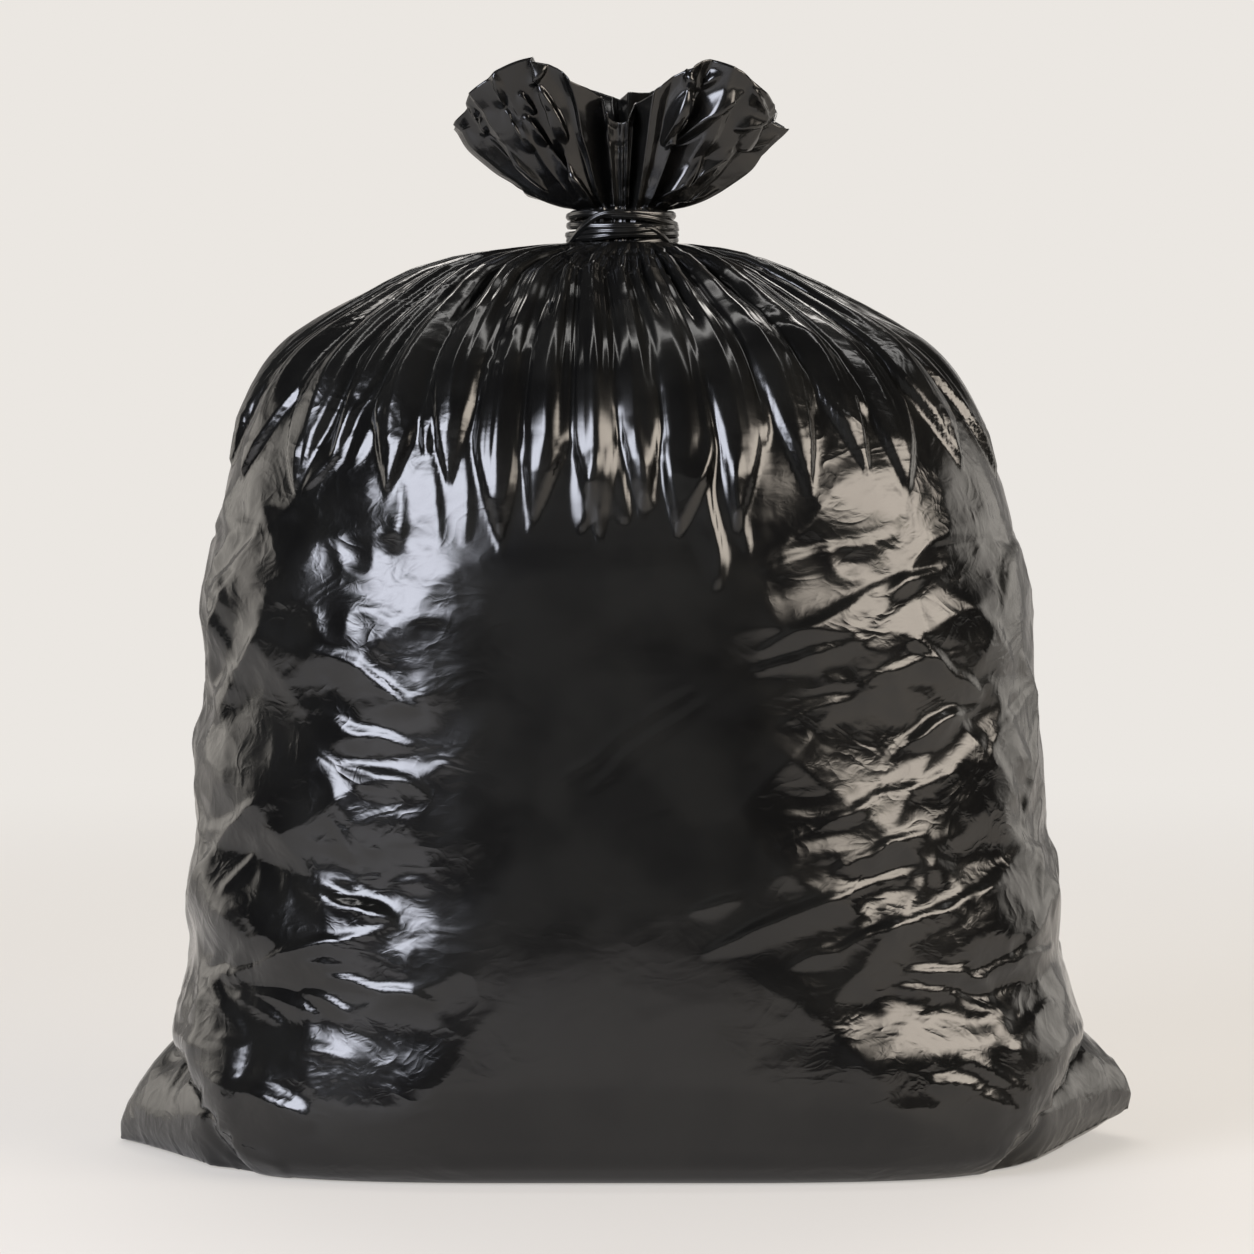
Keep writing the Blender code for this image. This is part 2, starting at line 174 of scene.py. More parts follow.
# Folds of the ruff, in the same way as those of the body
RUFF_FOLDS = np.array([
    (-0.0806, 0.6633, -0.0730, 0.6411, 0.0030, 0.0030), (-0.0730, 0.6411, -0.0547, 0.6146, 0.0034, 0.0034),
    (-0.0616, 0.6380, -0.0458, 0.6184, 0.0028, 0.0032), (-0.0458, 0.6184, -0.0155, 0.5779, 0.0028, 0.0034),
    (-0.0642, 0.6513, -0.0534, 0.6373, 0.0024, 0.0024), (-0.0521, 0.6551, -0.0338, 0.6209, 0.0036, 0.0034),
    (-0.0471, 0.6690, -0.0572, 0.6551, 0.0028, 0.0026), (-0.0939, 0.6411, -0.0838, 0.6247, 0.0028, 0.0026),
    (-0.0838, 0.6234, -0.0458, 0.5893, 0.0032, 0.0030), (0.0440, 0.6532, 0.0250, 0.6184, 0.0032, 0.0044),
    (0.0402, 0.6645, 0.0440, 0.6538, 0.0026, 0.0026), (0.0605, 0.6626, 0.0447, 0.6532, 0.0028, 0.0028),
    (0.0757, 0.6525, 0.0263, 0.6171, 0.0044, 0.0044), (0.0908, 0.6335, 0.0693, 0.6285, 0.0028, 0.0028),
    (0.0997, 0.6234, 0.0706, 0.6158, 0.0030, 0.0028), (0.0706, 0.6158, 0.0200, 0.5842, 0.0032, 0.0034),
    (0.0617, 0.5905, 0.0326, 0.5842, 0.0026, 0.0024), (0.0807, 0.6551, 0.0908, 0.6335, 0.0028, 0.0026),
])

# Depths of the ruff's main pleats, of its small ones and of its crushed ridges, and how many are small
RUFF_PLEAT_DEPTH = 0.0190
RUFF_FINE_DEPTH = 0.0030
RUFF_CRUSH_DEPTH = 0.0050
RUFF_FINE_PLEATS = 31
# Depths of the main and the small pleats inside the strip
GATHER_DEPTH = 0.0026
GATHER_FINE_DEPTH = 0.0014

# Places of the sealed corners' blunt tips: (distance from the middle, height of the lower and upper end)
LEFT_TIP = (0.3165, 0.001, 0.028)
RIGHT_TIP = (0.3180, 0.020, 0.042)
# Where the edge of a corner's flap meets the body, on the floor
FLAP_FOOT = (0.225, 0.141)
# How far in from the tip the seam under a flap runs, how high the crease is where the flap meets the body,
# how much it rises towards the tip, and the share of its radius that the body loses there
FLAP_SEAM = 0.082
FLAP_CREASE = 0.014
FLAP_CREASE_RISE = 0.056
FLAP_PINCH = 0.050
# How far a flap bulges outwards, to the front or back, and up
FLAP_BULGE = (0.010, 0.012, 0.010)
# Share of each quarter of the sack's way round that a corner's flap takes up
CORNER_SHARE = 0.40
# Half the length of the seam under the sack, between the flaps, and the film's height over the floor there
SEAM_HALF = 0.228
SEAM_HEIGHT = 0.0008
# Share of the body's rows that lie below a height
LOW_ROWS_SHARE = 0.24
LOW_ROWS_TOP = 0.088
# Height at which the columns are spaced evenly
EVEN_HEIGHT = 0.2

# The two runs of the simulation, coarse and then fine: steps, push of the filling in a step, share of the
# speed that is kept, pull towards home and stiffness against bending
COARSE_RUN = {"steps": 260, "push": 0.00022, "glide": 0.93, "hold": 0.012, "firmness": 0.012}
FINE_RUN = {"steps": 130, "push": 0.00008, "glide": 0.91, "hold": 0.010, "firmness": 0.010}
# How far the points are shaken before each run, so that the film can buckle
COARSE_JITTER = 0.0006
FINE_JITTER = 0.00015
# How far the film may sink in from home, on the body and in the ruff, and how far it may stand out
SINK_LIMIT = 0.012
RUFF_SINK_LIMIT = 0.0009
RISE_LIMIT = 0.003
# How much further it may stand out on the corners' flaps, how much less from the shoulders up, and how much
# less again in the ruff
FLAP_RISE = 0.004
SHOULDER_RISE_LOSS = 0.0015
RUFF_RISE_LOSS = 0.0021
# The share of the filling's push that the flaps get and the share that the shoulders lose, and how much
# harder the film is pulled home on the flaps and from the shoulders up, and once more in the ruff
FLAP_PUSH = 0.25
SHOULDER_PUSH_LOSS = 0.8
EXTRA_HOLD = 1.5
# The film's length over that of home everywhere, and what is added: round the body (evenly, in patches), up
# it (evenly, at its sides, in patches, near the floor) and round the shoulders, where it is gathered
FILM_LENGTH = 1.003
ROUND_SLACK = (0.010, 0.014)
UP_SLACK = (0.008, 0.018, 0.020, 0.010)
GATHERED_SLACK = 0.02

# How far inside the strip's two edges the middles of its outer turns stay
STRAND_EDGE = 0.0020
STRAND_STEPS = 96
# Half widths: a range for the turns, then the stretch that crosses them and the tucked tail
TURN_HALF_WIDTH = (0.0015, 0.0020)
CROSSING_HALF_WIDTH = 0.0022
TAIL_HALF_WIDTH = 0.0028
# Where those two run: (first and last angle, the share of the strip's height at each, how far they lift)
CROSSING = (168.0, 278.0, 0.12, 0.90, 0.0036)
TAIL = (285.0, 345.0, 0.55, 0.14, 0.0028)

# A softbox keeps its full brightness out to the first share of its width and dims to the rim's
SOFTBOX_CORE = 0.22
SOFTBOX_RIM = 0.62
RIM_BRIGHTNESS = 0.07


class FilmSettings(bpy.types.PropertyGroup):
    """Sizes of the sack's film and of the grid that it is simulated on."""

    columns: bpy.props.IntProperty(
        name="Columns", description="Columns of points round the sack", default=640,
    )
    body_rows: bpy.props.IntProperty(
        name="Body rows", description="Rows from the seam to the neck", default=351,
    )
    ruff_rows: bpy.props.IntProperty(
        name="Ruff rows", description="Rows over the neck and ruff", default=81,
    )
    ruff_pleats: bpy.props.IntProperty(
        name="Ruff pleats", description="Main pleats round the ruff", default=11,
    )
    neck_radius: bpy.props.FloatProperty(
        name="Neck radius", description="Radius of the gathered film inside the strip", default=0.0255,
        unit="LENGTH",
    )
    thickness: bpy.props.FloatProperty(
        name="Film thickness", description="Wall of the open ruff, drawn thicker than real film",
        default=0.0007, unit="LENGTH",
    )
    colour: bpy.props.StringProperty(
        name="Film colour", description="sRGB hex of the film", default="0A0A0A",
    )
    haze: bpy.props.StringProperty(
        name="Film haze", description="sRGB hex of the film where it is rubbed", default="121211",
    )


class StripSettings(bpy.types.PropertyGroup):
    """Sizes of the wound strip."""

    low: bpy.props.FloatProperty(
        name="Lower edge", description="Height of its lower edge", default=0.5528, unit="LENGTH",
    )
    high: bpy.props.FloatProperty(
        name="Upper edge", description="Height of its upper edge", default=0.5773, unit="LENGTH",
    )
    radius: bpy.props.FloatProperty(
        name="Radius", description="Radius of the turns' middle line", default=0.0322, unit="LENGTH",
    )
    turns: bpy.props.IntProperty(
        name="Turns", description="Turns of the strip round the neck", default=7,
    )
    colour: bpy.props.StringProperty(
        name="Strip colour", description="sRGB hex of the strip", default="101010",
    )
    haze: bpy.props.StringProperty(
        name="Strip haze", description="sRGB hex of the strip where it is rubbed", default="161615",
    )


class StageSettings(bpy.types.PropertyGroup):
    """Strength and colour of the studio."""

    floor_colour: bpy.props.StringProperty(
        name="Floor colour", description="sRGB hex of floor and backdrop", default="EBE7E2",
    )
    floor_glow: bpy.props.FloatProperty(
        name="Floor glow", description="Share of the floor's colour that needs no light", default=0.5,
        subtype="FACTOR",
    )
    wall_glow: bpy.props.FloatProperty(
        name="Backdrop glow", description="The same share on the backdrop", default=1.0, subtype="FACTOR",
    )
    cool_power: bpy.props.FloatProperty(
        name="Left softbox", description="Watts of the cool softbox", default=74.0,
    )
    warm_power: bpy.props.FloatProperty(
        name="Right softbox", description="Watts of the warm softbox", default=54.0,
    )
    panel_power: bpy.props.FloatProperty(
        name="Side panels", description="Watts of each side panel", default=15.0,
    )
    top_power: bpy.props.FloatProperty(
        name="Top softbox", description="Watts of the softbox overhead", default=76.0,
    )
    bar_power: bpy.props.FloatProperty(
        name="Overhead bars", description="Watts of each narrow lamp overhead", default=10.0,
    )
    front_power: bpy.props.FloatProperty(
        name="Front panel", description="Watts of the dim panel behind the camera", default=6.5,
    )
    back_power: bpy.props.FloatProperty(
        name="Back panel", description="Watts of the dim panel before the backdrop", default=8.0,
    )
    room_light: bpy.props.FloatProperty(
        name="Room light", description="Strength of the dim room's light", default=0.06,
    )


def between(table, value):
    """The second column of a table at a value of its first column."""
    return np.interp(value, table[:, 0], table[:, 1])


def ease(share):
    """0 to 1 with level ends."""
    share = np.clip(share, 0.0, 1.0)
    return share * share * (3.0 - 2.0 * share)


def along_body(table, height):
    """A table's value at a height of the body, with the corners between its rows rounded off."""
    reach = 0.016 * ease(height / 0.06) * ease((0.54 - height) / 0.08)
    taps = [(4 - abs(step)) * between(table, height + reach * step / 3.0) for step in range(-3, 4)]
    return sum(taps) / 16.0


def soft_noise(turn, share, across, along, draw):
    """Smooth noise from -1 to 1 that closes on itself round the sack: turn is 0 to 1 round it."""
    knots = draw.uniform(-1.0, 1.0, (along + 3, across))
    x = (turn % 1.0) * across
    y = np.clip(share, 0.0, 1.0) * along
    i, j = np.floor(x).astype(int), np.floor(y).astype(int)
    fx, fy = ease(x - i), ease(y - j)
    here, following = i % across, (i + 1) % across
    lower = knots[j, here] * (1 - fx) + knots[j, following] * fx
    upper = knots[j + 1, here] * (1 - fx) + knots[j + 1, following] * fx
    return lower * (1 - fy) + upper * fy


def ring_radius(angle, height):
    """Radius of the body's rounded-square section at an angle and a height."""
    width = along_body(BODY_OUTLINE, height)
    depth = width * along_body(BODY_DEPTH, height)
    power = along_body(BODY_SQUARENESS, height)
    across, along = np.abs(np.cos(angle)) / width, np.abs(np.sin(angle)) / depth
    return (across**power + along**power) ** (-1.0 / power)


def column_angles(count):
    """Angles of the columns, with as much film between each two on the widest part of the body."""
    angle = np.linspace(0.0, FULL_TURN, 4097)
    radius = ring_radius(angle, EVEN_HEIGHT)
    steps = np.hypot(np.diff(radius * np.cos(angle)), np.diff(radius * np.sin(angle)))
    run = np.concatenate([[0.0], np.cumsum(steps)])
    return np.interp(np.arange(count) / count * run[-1], run, angle)


def evenly(points, count):
    """count points at equal steps along a line of points."""
    points = np.array(points)
    run = np.concatenate([[0.0], np.cumsum(np.linalg.norm(np.diff(points, axis=0), axis=1))])
    places = np.linspace(0.0, run[-1], count)
    return np.stack([np.interp(places, run, points[:, k]) for k in range(3)])


def corner_path(angle, near):
    """Start of a column near a sealed corner: along the floor from the seam to the flap's edge, then up
    its face to the crease where it meets the body. near is 1 at the corner's tip and 0 where it ends."""
    across, along = math.cos(angle), math.sin(angle)
    tip_reach, tip_low, tip_high = RIGHT_TIP if across > 0.0 else LEFT_TIP
    sign = math.copysign(1.0, across)
    ahead = math.copysign(1.0, along) if abs(along) > 1e-9 else 0.0
    seam = tip_reach - 0.003 - FLAP_SEAM * (1.0 - near)
    start = np.array([sign * seam, 0.0, SEAM_HEIGHT + 1.2 * tip_low * near])
    tip = np.array([sign * (tip_reach - 0.004), ahead * 0.010, tip_low])
    foot = np.array([sign * FLAP_FOOT[0], ahead * FLAP_FOOT[1], 0.0])
    base = float(ring_radius(angle, 0.0)) * np.array([across, along, 0.0])
    hem = foot + (tip - foot) * near**0.9
    hem = base + (hem - base) * float(ease(near / 0.22))
    hem[2] += 0.001
    crease = FLAP_CREASE + FLAP_CREASE_RISE * near**0.6
    radius = float(ring_radius(angle, crease)) * (1.0 - FLAP_PINCH * near**0.35)
    top = np.array([radius * across, radius * along, crease])
    bulge = np.array([sign, ahead, 1.0]) * FLAP_BULGE
    full = 0.45 * (hem + top) + 0.1 * start + bulge * near**0.5
    blunt = np.array([sign * (tip_reach - 0.003), ahead * 0.014, 1.2 * tip_high])
    full += (blunt - full) * near**1.5
    path = [start, 0.5 * (start + hem) + np.array([0.0, 0.0, 0.002])]
    path += [(1 - t) ** 2 * hem + 2 * t * (1 - t) * full + t * t * top for t in np.linspace(0.0, 1.0, 7)]
    return path, crease


def body_column(angle, share, count, neck_radius):
    """One column of film from the seam under the sack to the neck: share is 0 at a sealed corner's tip,
    and 1 at the middle of the seam."""
    across, along = math.cos(angle), math.sin(angle)
    near = max(0.0, 1.0 - share / CORNER_SHARE)
    if near > 0.0:
        points, crease = corner_path(angle, near)
        heights = BODY_HEIGHTS[BODY_HEIGHTS > crease]
    else:
        seam = math.copysign(SEAM_HALF * (1.0 - share) / (1.0 - CORNER_SHARE), across)
        points = [np.array([seam, 0.0, SEAM_HEIGHT])]
        heights = BODY_HEIGHTS
    radii = ring_radius(angle, heights)
    points += [np.array([r * across, r * along, h]) for r, h in zip(radii, heights)]
    points.append(np.array([1.1 * neck_radius * across, 1.1 * neck_radius * along, TOP_OF_BODY - 0.0052]))
    low_rows = int(LOW_ROWS_SHARE * count)
    split = next(n for n, point in enumerate(points) if n > 2 and point[2] > LOW_ROWS_TOP)
    low, high = evenly(points[:split + 1], low_rows), evenly(points[split:], count - low_rows + 1)
    return np.concatenate([low[:, :-1], high], 1)


def film_normals(points):
    """Outward unit normals of a grid of points."""
    across = np.roll(points, -1, 2) - np.roll(points, 1, 2)
    along = np.empty_like(points)
    along[:, 1:-1] = points[:, 2:] - points[:, :-2]
    along[:, 0] = points[:, 1] - points[:, 0]
    along[:, -1] = points[:, -1] - points[:, -2]
    normal = np.stack([
        across[1] * along[2] - across[2] * along[1],
        across[2] * along[0] - across[0] * along[2],
        across[0] * along[1] - across[1] * along[0],
    ])
    return normal / (np.sqrt((normal * normal).sum(0)) + 1e-12)


def length_up(height):
    """Length of film up the side of the sack to a height."""
    radius = ring_radius(math.radians(300.0), BODY_HEIGHTS)
    run = np.concatenate([[0.0], np.cumsum(np.hypot(np.diff(radius), np.diff(BODY_HEIGHTS)))])
    return np.interp(height, BODY_HEIGHTS, run)


def fold_tips():
    """(angle, height) arrays of the lower tips of the shoulder folds."""
    degrees = np.array([half + tip[0] for half in (0, 180) for tip in FOLD_TIPS]) % 360.0
    heights = np.array([SHOULDER_FOOT + SHOULDER_HEIGHT * tip[1] for _ in (0, 1) for tip in FOLD_TIPS])
    order = np.argsort(degrees)
    return np.radians(degrees[order]), heights[order]


def leaf_relief(aside, above, width, thick, tilt):
    """How far a fold's leaf stands out: flat-backed, thickest a little above its tip, with crisp edges."""
    across = np.abs(aside) / width
    edge = np.clip((1.0 - across) * width / LEAF_EDGE, 0.0, 1.0)
    body = thick * (0.20 + 0.80 * np.exp(-np.clip(above, 0.0, 1.0) / 0.032))
    body = np.minimum(body, 0.0012 + 0.36 * width) * (1.0 - 0.22 * across)
    return np.where((above > 0.0) & (across < 1.0), edge * (body + 0.6 * tilt * aside), 0.0)


def fold_relief(angle, radius, run, tips, draw):
    """How far the shoulder folds stand out of the body. Each is a leaf that hangs from a pleat and ends in
    a V, with a thinner, shorter one beside it."""
    angles, heights = tips
    count = len(angles)
    relief = np.zeros_like(radius)
    half = radius * math.pi / count
    thick, skew = draw.uniform(*LEAF_THICKNESS, count), draw.uniform(-0.30, 0.30, count)
    tilt, reach = draw.uniform(-0.14, 0.14, count), draw.uniform(*LEAF_REACH, count)
    point, notch = draw.uniform(0.65, 0.95, count), draw.uniform(-0.6, 0.6, count)
    shift, lift = draw.uniform(0.35, 0.65, count), draw.uniform(0.025, 0.075, count)
    rise = draw.uniform(0.15, 0.55, count)
    for k in range(count):
        after = (angles[(k + 1) % count] - angles[k]) % FULL_TURN
        before = (angles[k] - angles[k - 1]) % FULL_TURN
        above = run - length_up(heights[k])
        turn = (angle - angles[k] + math.pi) % FULL_TURN - math.pi
        aside = turn * radius + skew[k] * np.clip(0.06 - above, 0.0, 0.07) * 0.6
        side = np.where(aside > 0.0, 0.55 * after, 0.55 * before) * radius
        width = side * np.clip(above / reach[k], 0.0, 1.0) ** point[k] + 1e-6
        leaf = np.minimum(leaf_relief(aside, above, width, thick[k], tilt[k]), 0.5 * half)
        pleat = rise[k] * half * ease((above - 0.015) / 0.07) * np.clip(1.0 - np.abs(aside) / side, 0.0, 1.0)
        crease = np.exp(-np.abs(aside / side - notch[k]) / 0.07)
        pleat -= 0.12 * half * ease((above - 0.03) / 0.05) * crease * (np.abs(aside) < side)
        beside = aside - shift[k] * after * radius
        higher = above - lift[k]
        narrow = 0.36 * after * radius * np.clip(higher / 0.045, 0.0, 1.0) ** 0.7 + 1e-6
        small = leaf_relief(beside, higher, narrow, 0.55 * thick[k], -tilt[k])
        near = np.abs(turn) < 0.6
        relief = np.maximum(relief, np.where(near, np.maximum(leaf + pleat, small), 0.0))
    return relief


def facets(share, number, count, draw):
    """How far film sinks over the width of a pleat, from 0 at its ridges to 1 in its valley: two flat
    facets that meet in a shallow crease, and then the narrow valley."""
    crease, ridge, valley = (
        draw.uniform(low, high, count)[number] for low, high in ((0.16, 0.36), (0.44, 0.62), (0.70, 0.88))
    )
    dip, step = draw.uniform(0.10, 0.50, count)[number], draw.uniform(0.0, 0.14, count)[number]
    places = (np.zeros_like(share), crease, ridge, valley, np.ones_like(share))
    depths = (np.zeros_like(share), dip, step, np.ones_like(share), np.zeros_like(share))
    sunk = np.zeros_like(share)
    for a, b, low, high in zip(places, places[1:], depths, depths[1:]):
        sunk = np.where((share >= a) & (share <= b), low + (high - low) * (share - a) / (b - a), sunk)
    return sunk


def neck_relief(angle, turns, height, radius, run, draw):
    """Sharp pleats that gather towards the neck."""
    up = ease((run - length_up(0.49)) / 0.08)
    share, number = pleat_phase(angle, jittered_angles(NECK_PLEATS, 0.45, draw))
    deep = draw.uniform(0.25, 1.0, NECK_PLEATS)[number]
    relief = -NECK_PLEAT_DEPTH * radius * deep * facets(share, number, NECK_PLEATS, draw) * up
    crease = (turns * NECK_CREASES + 0.8 * soft_noise(turns, run * 2.0, 21, 3, draw)) % 1.0
    line = np.exp(-((np.minimum(crease, 1.0 - crease) / 0.08) ** 2))
    relief -= NECK_CREASE_DEPTH * line * ease((height - 0.44) / 0.05)
    return relief - NECK_SINK * ease((height - 0.47) / 0.06)


def seen_from_front(points):
    """Where points look to be from the front, on the plane through the sack's middle: (x, height)."""
    distance, height = CAMERA_PLACE[1:]
    nearer = distance / (distance - points[1])
    return points[0] * nearer, height + (points[2] - height) * nearer


def fold_at(x, y, fold):
    """Relief of one fold: a crest between its ends that rises gently on one side and drops on the other."""
    x0, y0, x1, y1, wide, deep = fold
    long = math.hypot(x1 - x0, y1 - y0)
    along = ((x - x0) * (x1 - x0) + (y - y0) * (y1 - y0)) / long**2
    across = ((y - y0) * (x1 - x0) - (x - x0) * (y1 - y0)) / long
    swell = np.sqrt(np.clip(1.0 - (2.0 * along - 1.0) ** 2, 0.0, 1.0))
    place = across / (wide * np.maximum(swell, 0.25))
    gentle = np.clip((2.6 + place) / 3.1, 0.0, 1.0) ** 1.4
    sharp = ease((1.4 - place) / 1.3)
    return deep * swell * np.minimum(gentle, sharp)


def side_folds(draw):
    """Small folds on a side, which slope down to the front or back: (y, height) ends, half width, depth."""
    folds = []
    for _ in range(SMALL_FOLDS):
        y, height = draw.uniform(-0.14, 0.14), draw.uniform(0.05, 0.40)
        long, slope = draw.uniform(0.05, 0.11), draw.uniform(0.5, 1.3) * draw.choice((-1.0, 1.0))
        dy, dz = long * math.cos(slope), long * math.sin(slope)
        wide, deep = draw.uniform(*SMALL_FOLD_WIDTH), draw.uniform(*SMALL_FOLD_DEPTH)
        folds.append((y - dy / 2, height - dz / 2, y + dy / 2, height + dz / 2, wide, deep))
    return folds


def body_folds(points, turns, shares, draw):
    """All the folds below the shoulders. The back has the front's, the other way round."""
    relief = np.zeros_like(points[0])
    front, right = points[1] < 0.0, points[0] > 0.0
    seen_x, seen_z = seen_from_front(np.stack([points[0], -np.abs(points[1]), points[2]]))
    seen_x = seen_x + FOLD_WANDER * soft_noise(turns, shares, 30, 18, draw)
    seen_z = seen_z + FOLD_WANDER * soft_noise(turns, shares, 30, 18, draw)
    seen_z = seen_z + FOLD_RAGGEDNESS * soft_noise(turns, shares, 84, 52, draw)
    seen_x = np.where(front, seen_x, -seen_x)
    facing = 0.75 * ease((np.abs(points[1]) - 0.005) / 0.045)
    for fold in FRONT_FOLDS:
        relief += facing * fold_at(seen_x, seen_z, fold)
    sides = ease((np.abs(points[0]) - 0.13) / 0.11)
    for here in (right, ~right):
        for fold in side_folds(draw):
            relief += np.where(here, sides * fold_at(points[1], points[2], fold), 0.0)
    return relief


def side_relief(angle, height):
    """How far the broad slanting folds down the two sides stand out."""
    full = SHOULDER_FOOT - HEEL_HEIGHT
    share = (height - HEEL_HEIGHT) / full
    for _ in range(3):
        drop = SIDE_FOLD_SLANT * np.sin(angle) ** 2 * np.sin(math.pi * np.clip(share, 0.0, 1.0))
        share = (height + drop - HEEL_HEIGHT) / full
    row = SIDE_ROWS * np.clip(share, 0.0, 1.0)
    wave = ease(1.0 - np.abs(row % 2.0 - 1.0))
    size = 0.60 + 0.25 * np.sin(2.4 * (2.0 * np.floor(row / 2.0) + 1.0) + 2.0 * angle)
    sideways = ease((np.abs(np.cos(angle)) - SIDE_FOLD_START) / SIDE_FOLD_START)
    sunk = SIDE_FOLD_SINK * ease(0.6 * np.minimum(row, SIDE_ROWS - row))
    return SIDE_FOLD_DEPTH * sideways * (size * wave - sunk)


def crumple(turns, shares, height, sideways, draw):
    """Ridges and hollows of film that was crushed: sharp along their crests, more at the sides."""
    relief = np.zeros_like(height)
    for cells, rows, deep, lean in CRUMPLES:
        noise = soft_noise(turns + lean * shares / cells * 6.0, shares, cells, rows, draw)
        relief += deep * (0.5 - np.abs(noise))
    middle = 0.05 + 0.95 * ease((sideways - 0.06) / 0.34)
    return relief * middle * ease(height / 0.05) * ease((0.45 - height) / 0.08)


def pleat_phase(angle, valleys):
    """(share of the pleat, its number) for each angle, for pleats that begin at the valleys' angles."""
    ends = np.concatenate([valleys, valleys[:1] + FULL_TURN])
    turned = np.where(angle < ends[0], angle + FULL_TURN, angle)
    number = np.clip(np.searchsorted(ends, turned, side="right") - 1, 0, len(valleys) - 1)
    return (turned - ends[number]) / (ends[number + 1] - ends[number]), number


def closed_curve(table, degrees):
    """A smooth closed curve through rows of (degrees, values)."""
    knots = np.concatenate([table[-2:, 0] - 360, table[:, 0], table[:2, 0] + 360])
    values = np.concatenate([table[-2:, 1:], table[:, 1:], table[:2, 1:]])
    k = np.searchsorted(knots, degrees % 360, side="right") - 1
    t = ((degrees % 360 - knots[k]) / (knots[k + 1] - knots[k]))[:, None]
    a, b, c, d = values[k - 1], values[k], values[k + 1], values[k + 2]
    return 0.5 * (2 * b + (c - a) * t + (2 * a - 5 * b + 4 * c - d) * t**2 + (3 * b - a - 3 * c + d) * t**3)


def jittered_angles(count, jitter, draw):
    """count angles round the sack, each moved by up to a share of the step between them."""
    places = np.arange(count) + draw.uniform(-jitter, jitter, count)
    return np.sort((places / count * FULL_TURN) % FULL_TURN)


def ruff_shape(angle, rows, neck_rows, film, strip, draw):
    """Rows of points over the neck and out to the hem, pleated into uneven facets."""
    count = film.ruff_pleats
    hem = closed_curve(RUFF_HEM, np.degrees(angle))
    share, number = pleat_phase(angle, jittered_angles(count, 0.30, draw))
    sunk = facets(share, number, count, draw)
    size = draw.uniform(0.70, 1.30, count)[number]
    fine_share, fine = pleat_phase(angle, jittered_angles(RUFF_FINE_PLEATS, 0.45, draw))
    fine_sunk = (1.0 - np.abs(2.0 * fine_share - 1.0)) * draw.uniform(0.2, 1.0, RUFF_FINE_PLEATS)[fine]
    neck = film.neck_radius - GATHER_DEPTH * sunk - GATHER_FINE_DEPTH * fine_sunk
    low = TOP_OF_BODY - 0.0037
    inside = low + (strip.high + 0.0002 - low) * np.arange(neck_rows) / (neck_rows - 1)
    t = ((np.arange(neck_rows, rows) - neck_rows + 1) / (rows - neck_rows))[:, None]
    turn = (np.arange(len(angle)) / len(angle))[None, :] * np.ones_like(t)
    bulge = np.cos(angle)[None, :] ** 2
    crushed = 0.5 - np.abs(soft_noise(turn, t * np.ones_like(turn), 22, 5, draw))
    main = np.sin(math.pi * (0.10 + 0.62 * t)) * sunk * (1.0 - 0.5 * bulge * t)
    depth = RUFF_PLEAT_DEPTH * size * main + RUFF_CRUSH_DEPTH * crushed * t
    depth += RUFF_FINE_DEPTH * fine_sunk * np.sin(math.pi * (0.15 + 0.75 * t))
    radius = neck + (hem[:, 0] - film.neck_radius) * t ** (0.95 - 0.22 * bulge) - 0.8 * depth
    height = strip.high + 0.0008 + hem[:, 1] * t ** (1.10 + 0.35 * bulge) + 0.25 * depth
    radius = np.concatenate([neck[None, :] * np.ones((neck_rows, 1)), radius])
    height = np.concatenate([inside[:, None] * np.ones((1, len(angle))), height])
    points = np.stack([radius * np.cos(angle), radius * np.sin(angle), height])
    seen_x, seen_z = seen_from_front(np.stack([points[0], -np.abs(points[1]), points[2]]))
    seen_x = np.where(points[1] < 0.0, seen_x, -seen_x)
    relief = 1.3 * sum(fold_at(seen_x, seen_z, fold) for fold in RUFF_FOLDS)
    relief[:neck_rows + 2] = 0.0
    return points + film_normals(points) * relief


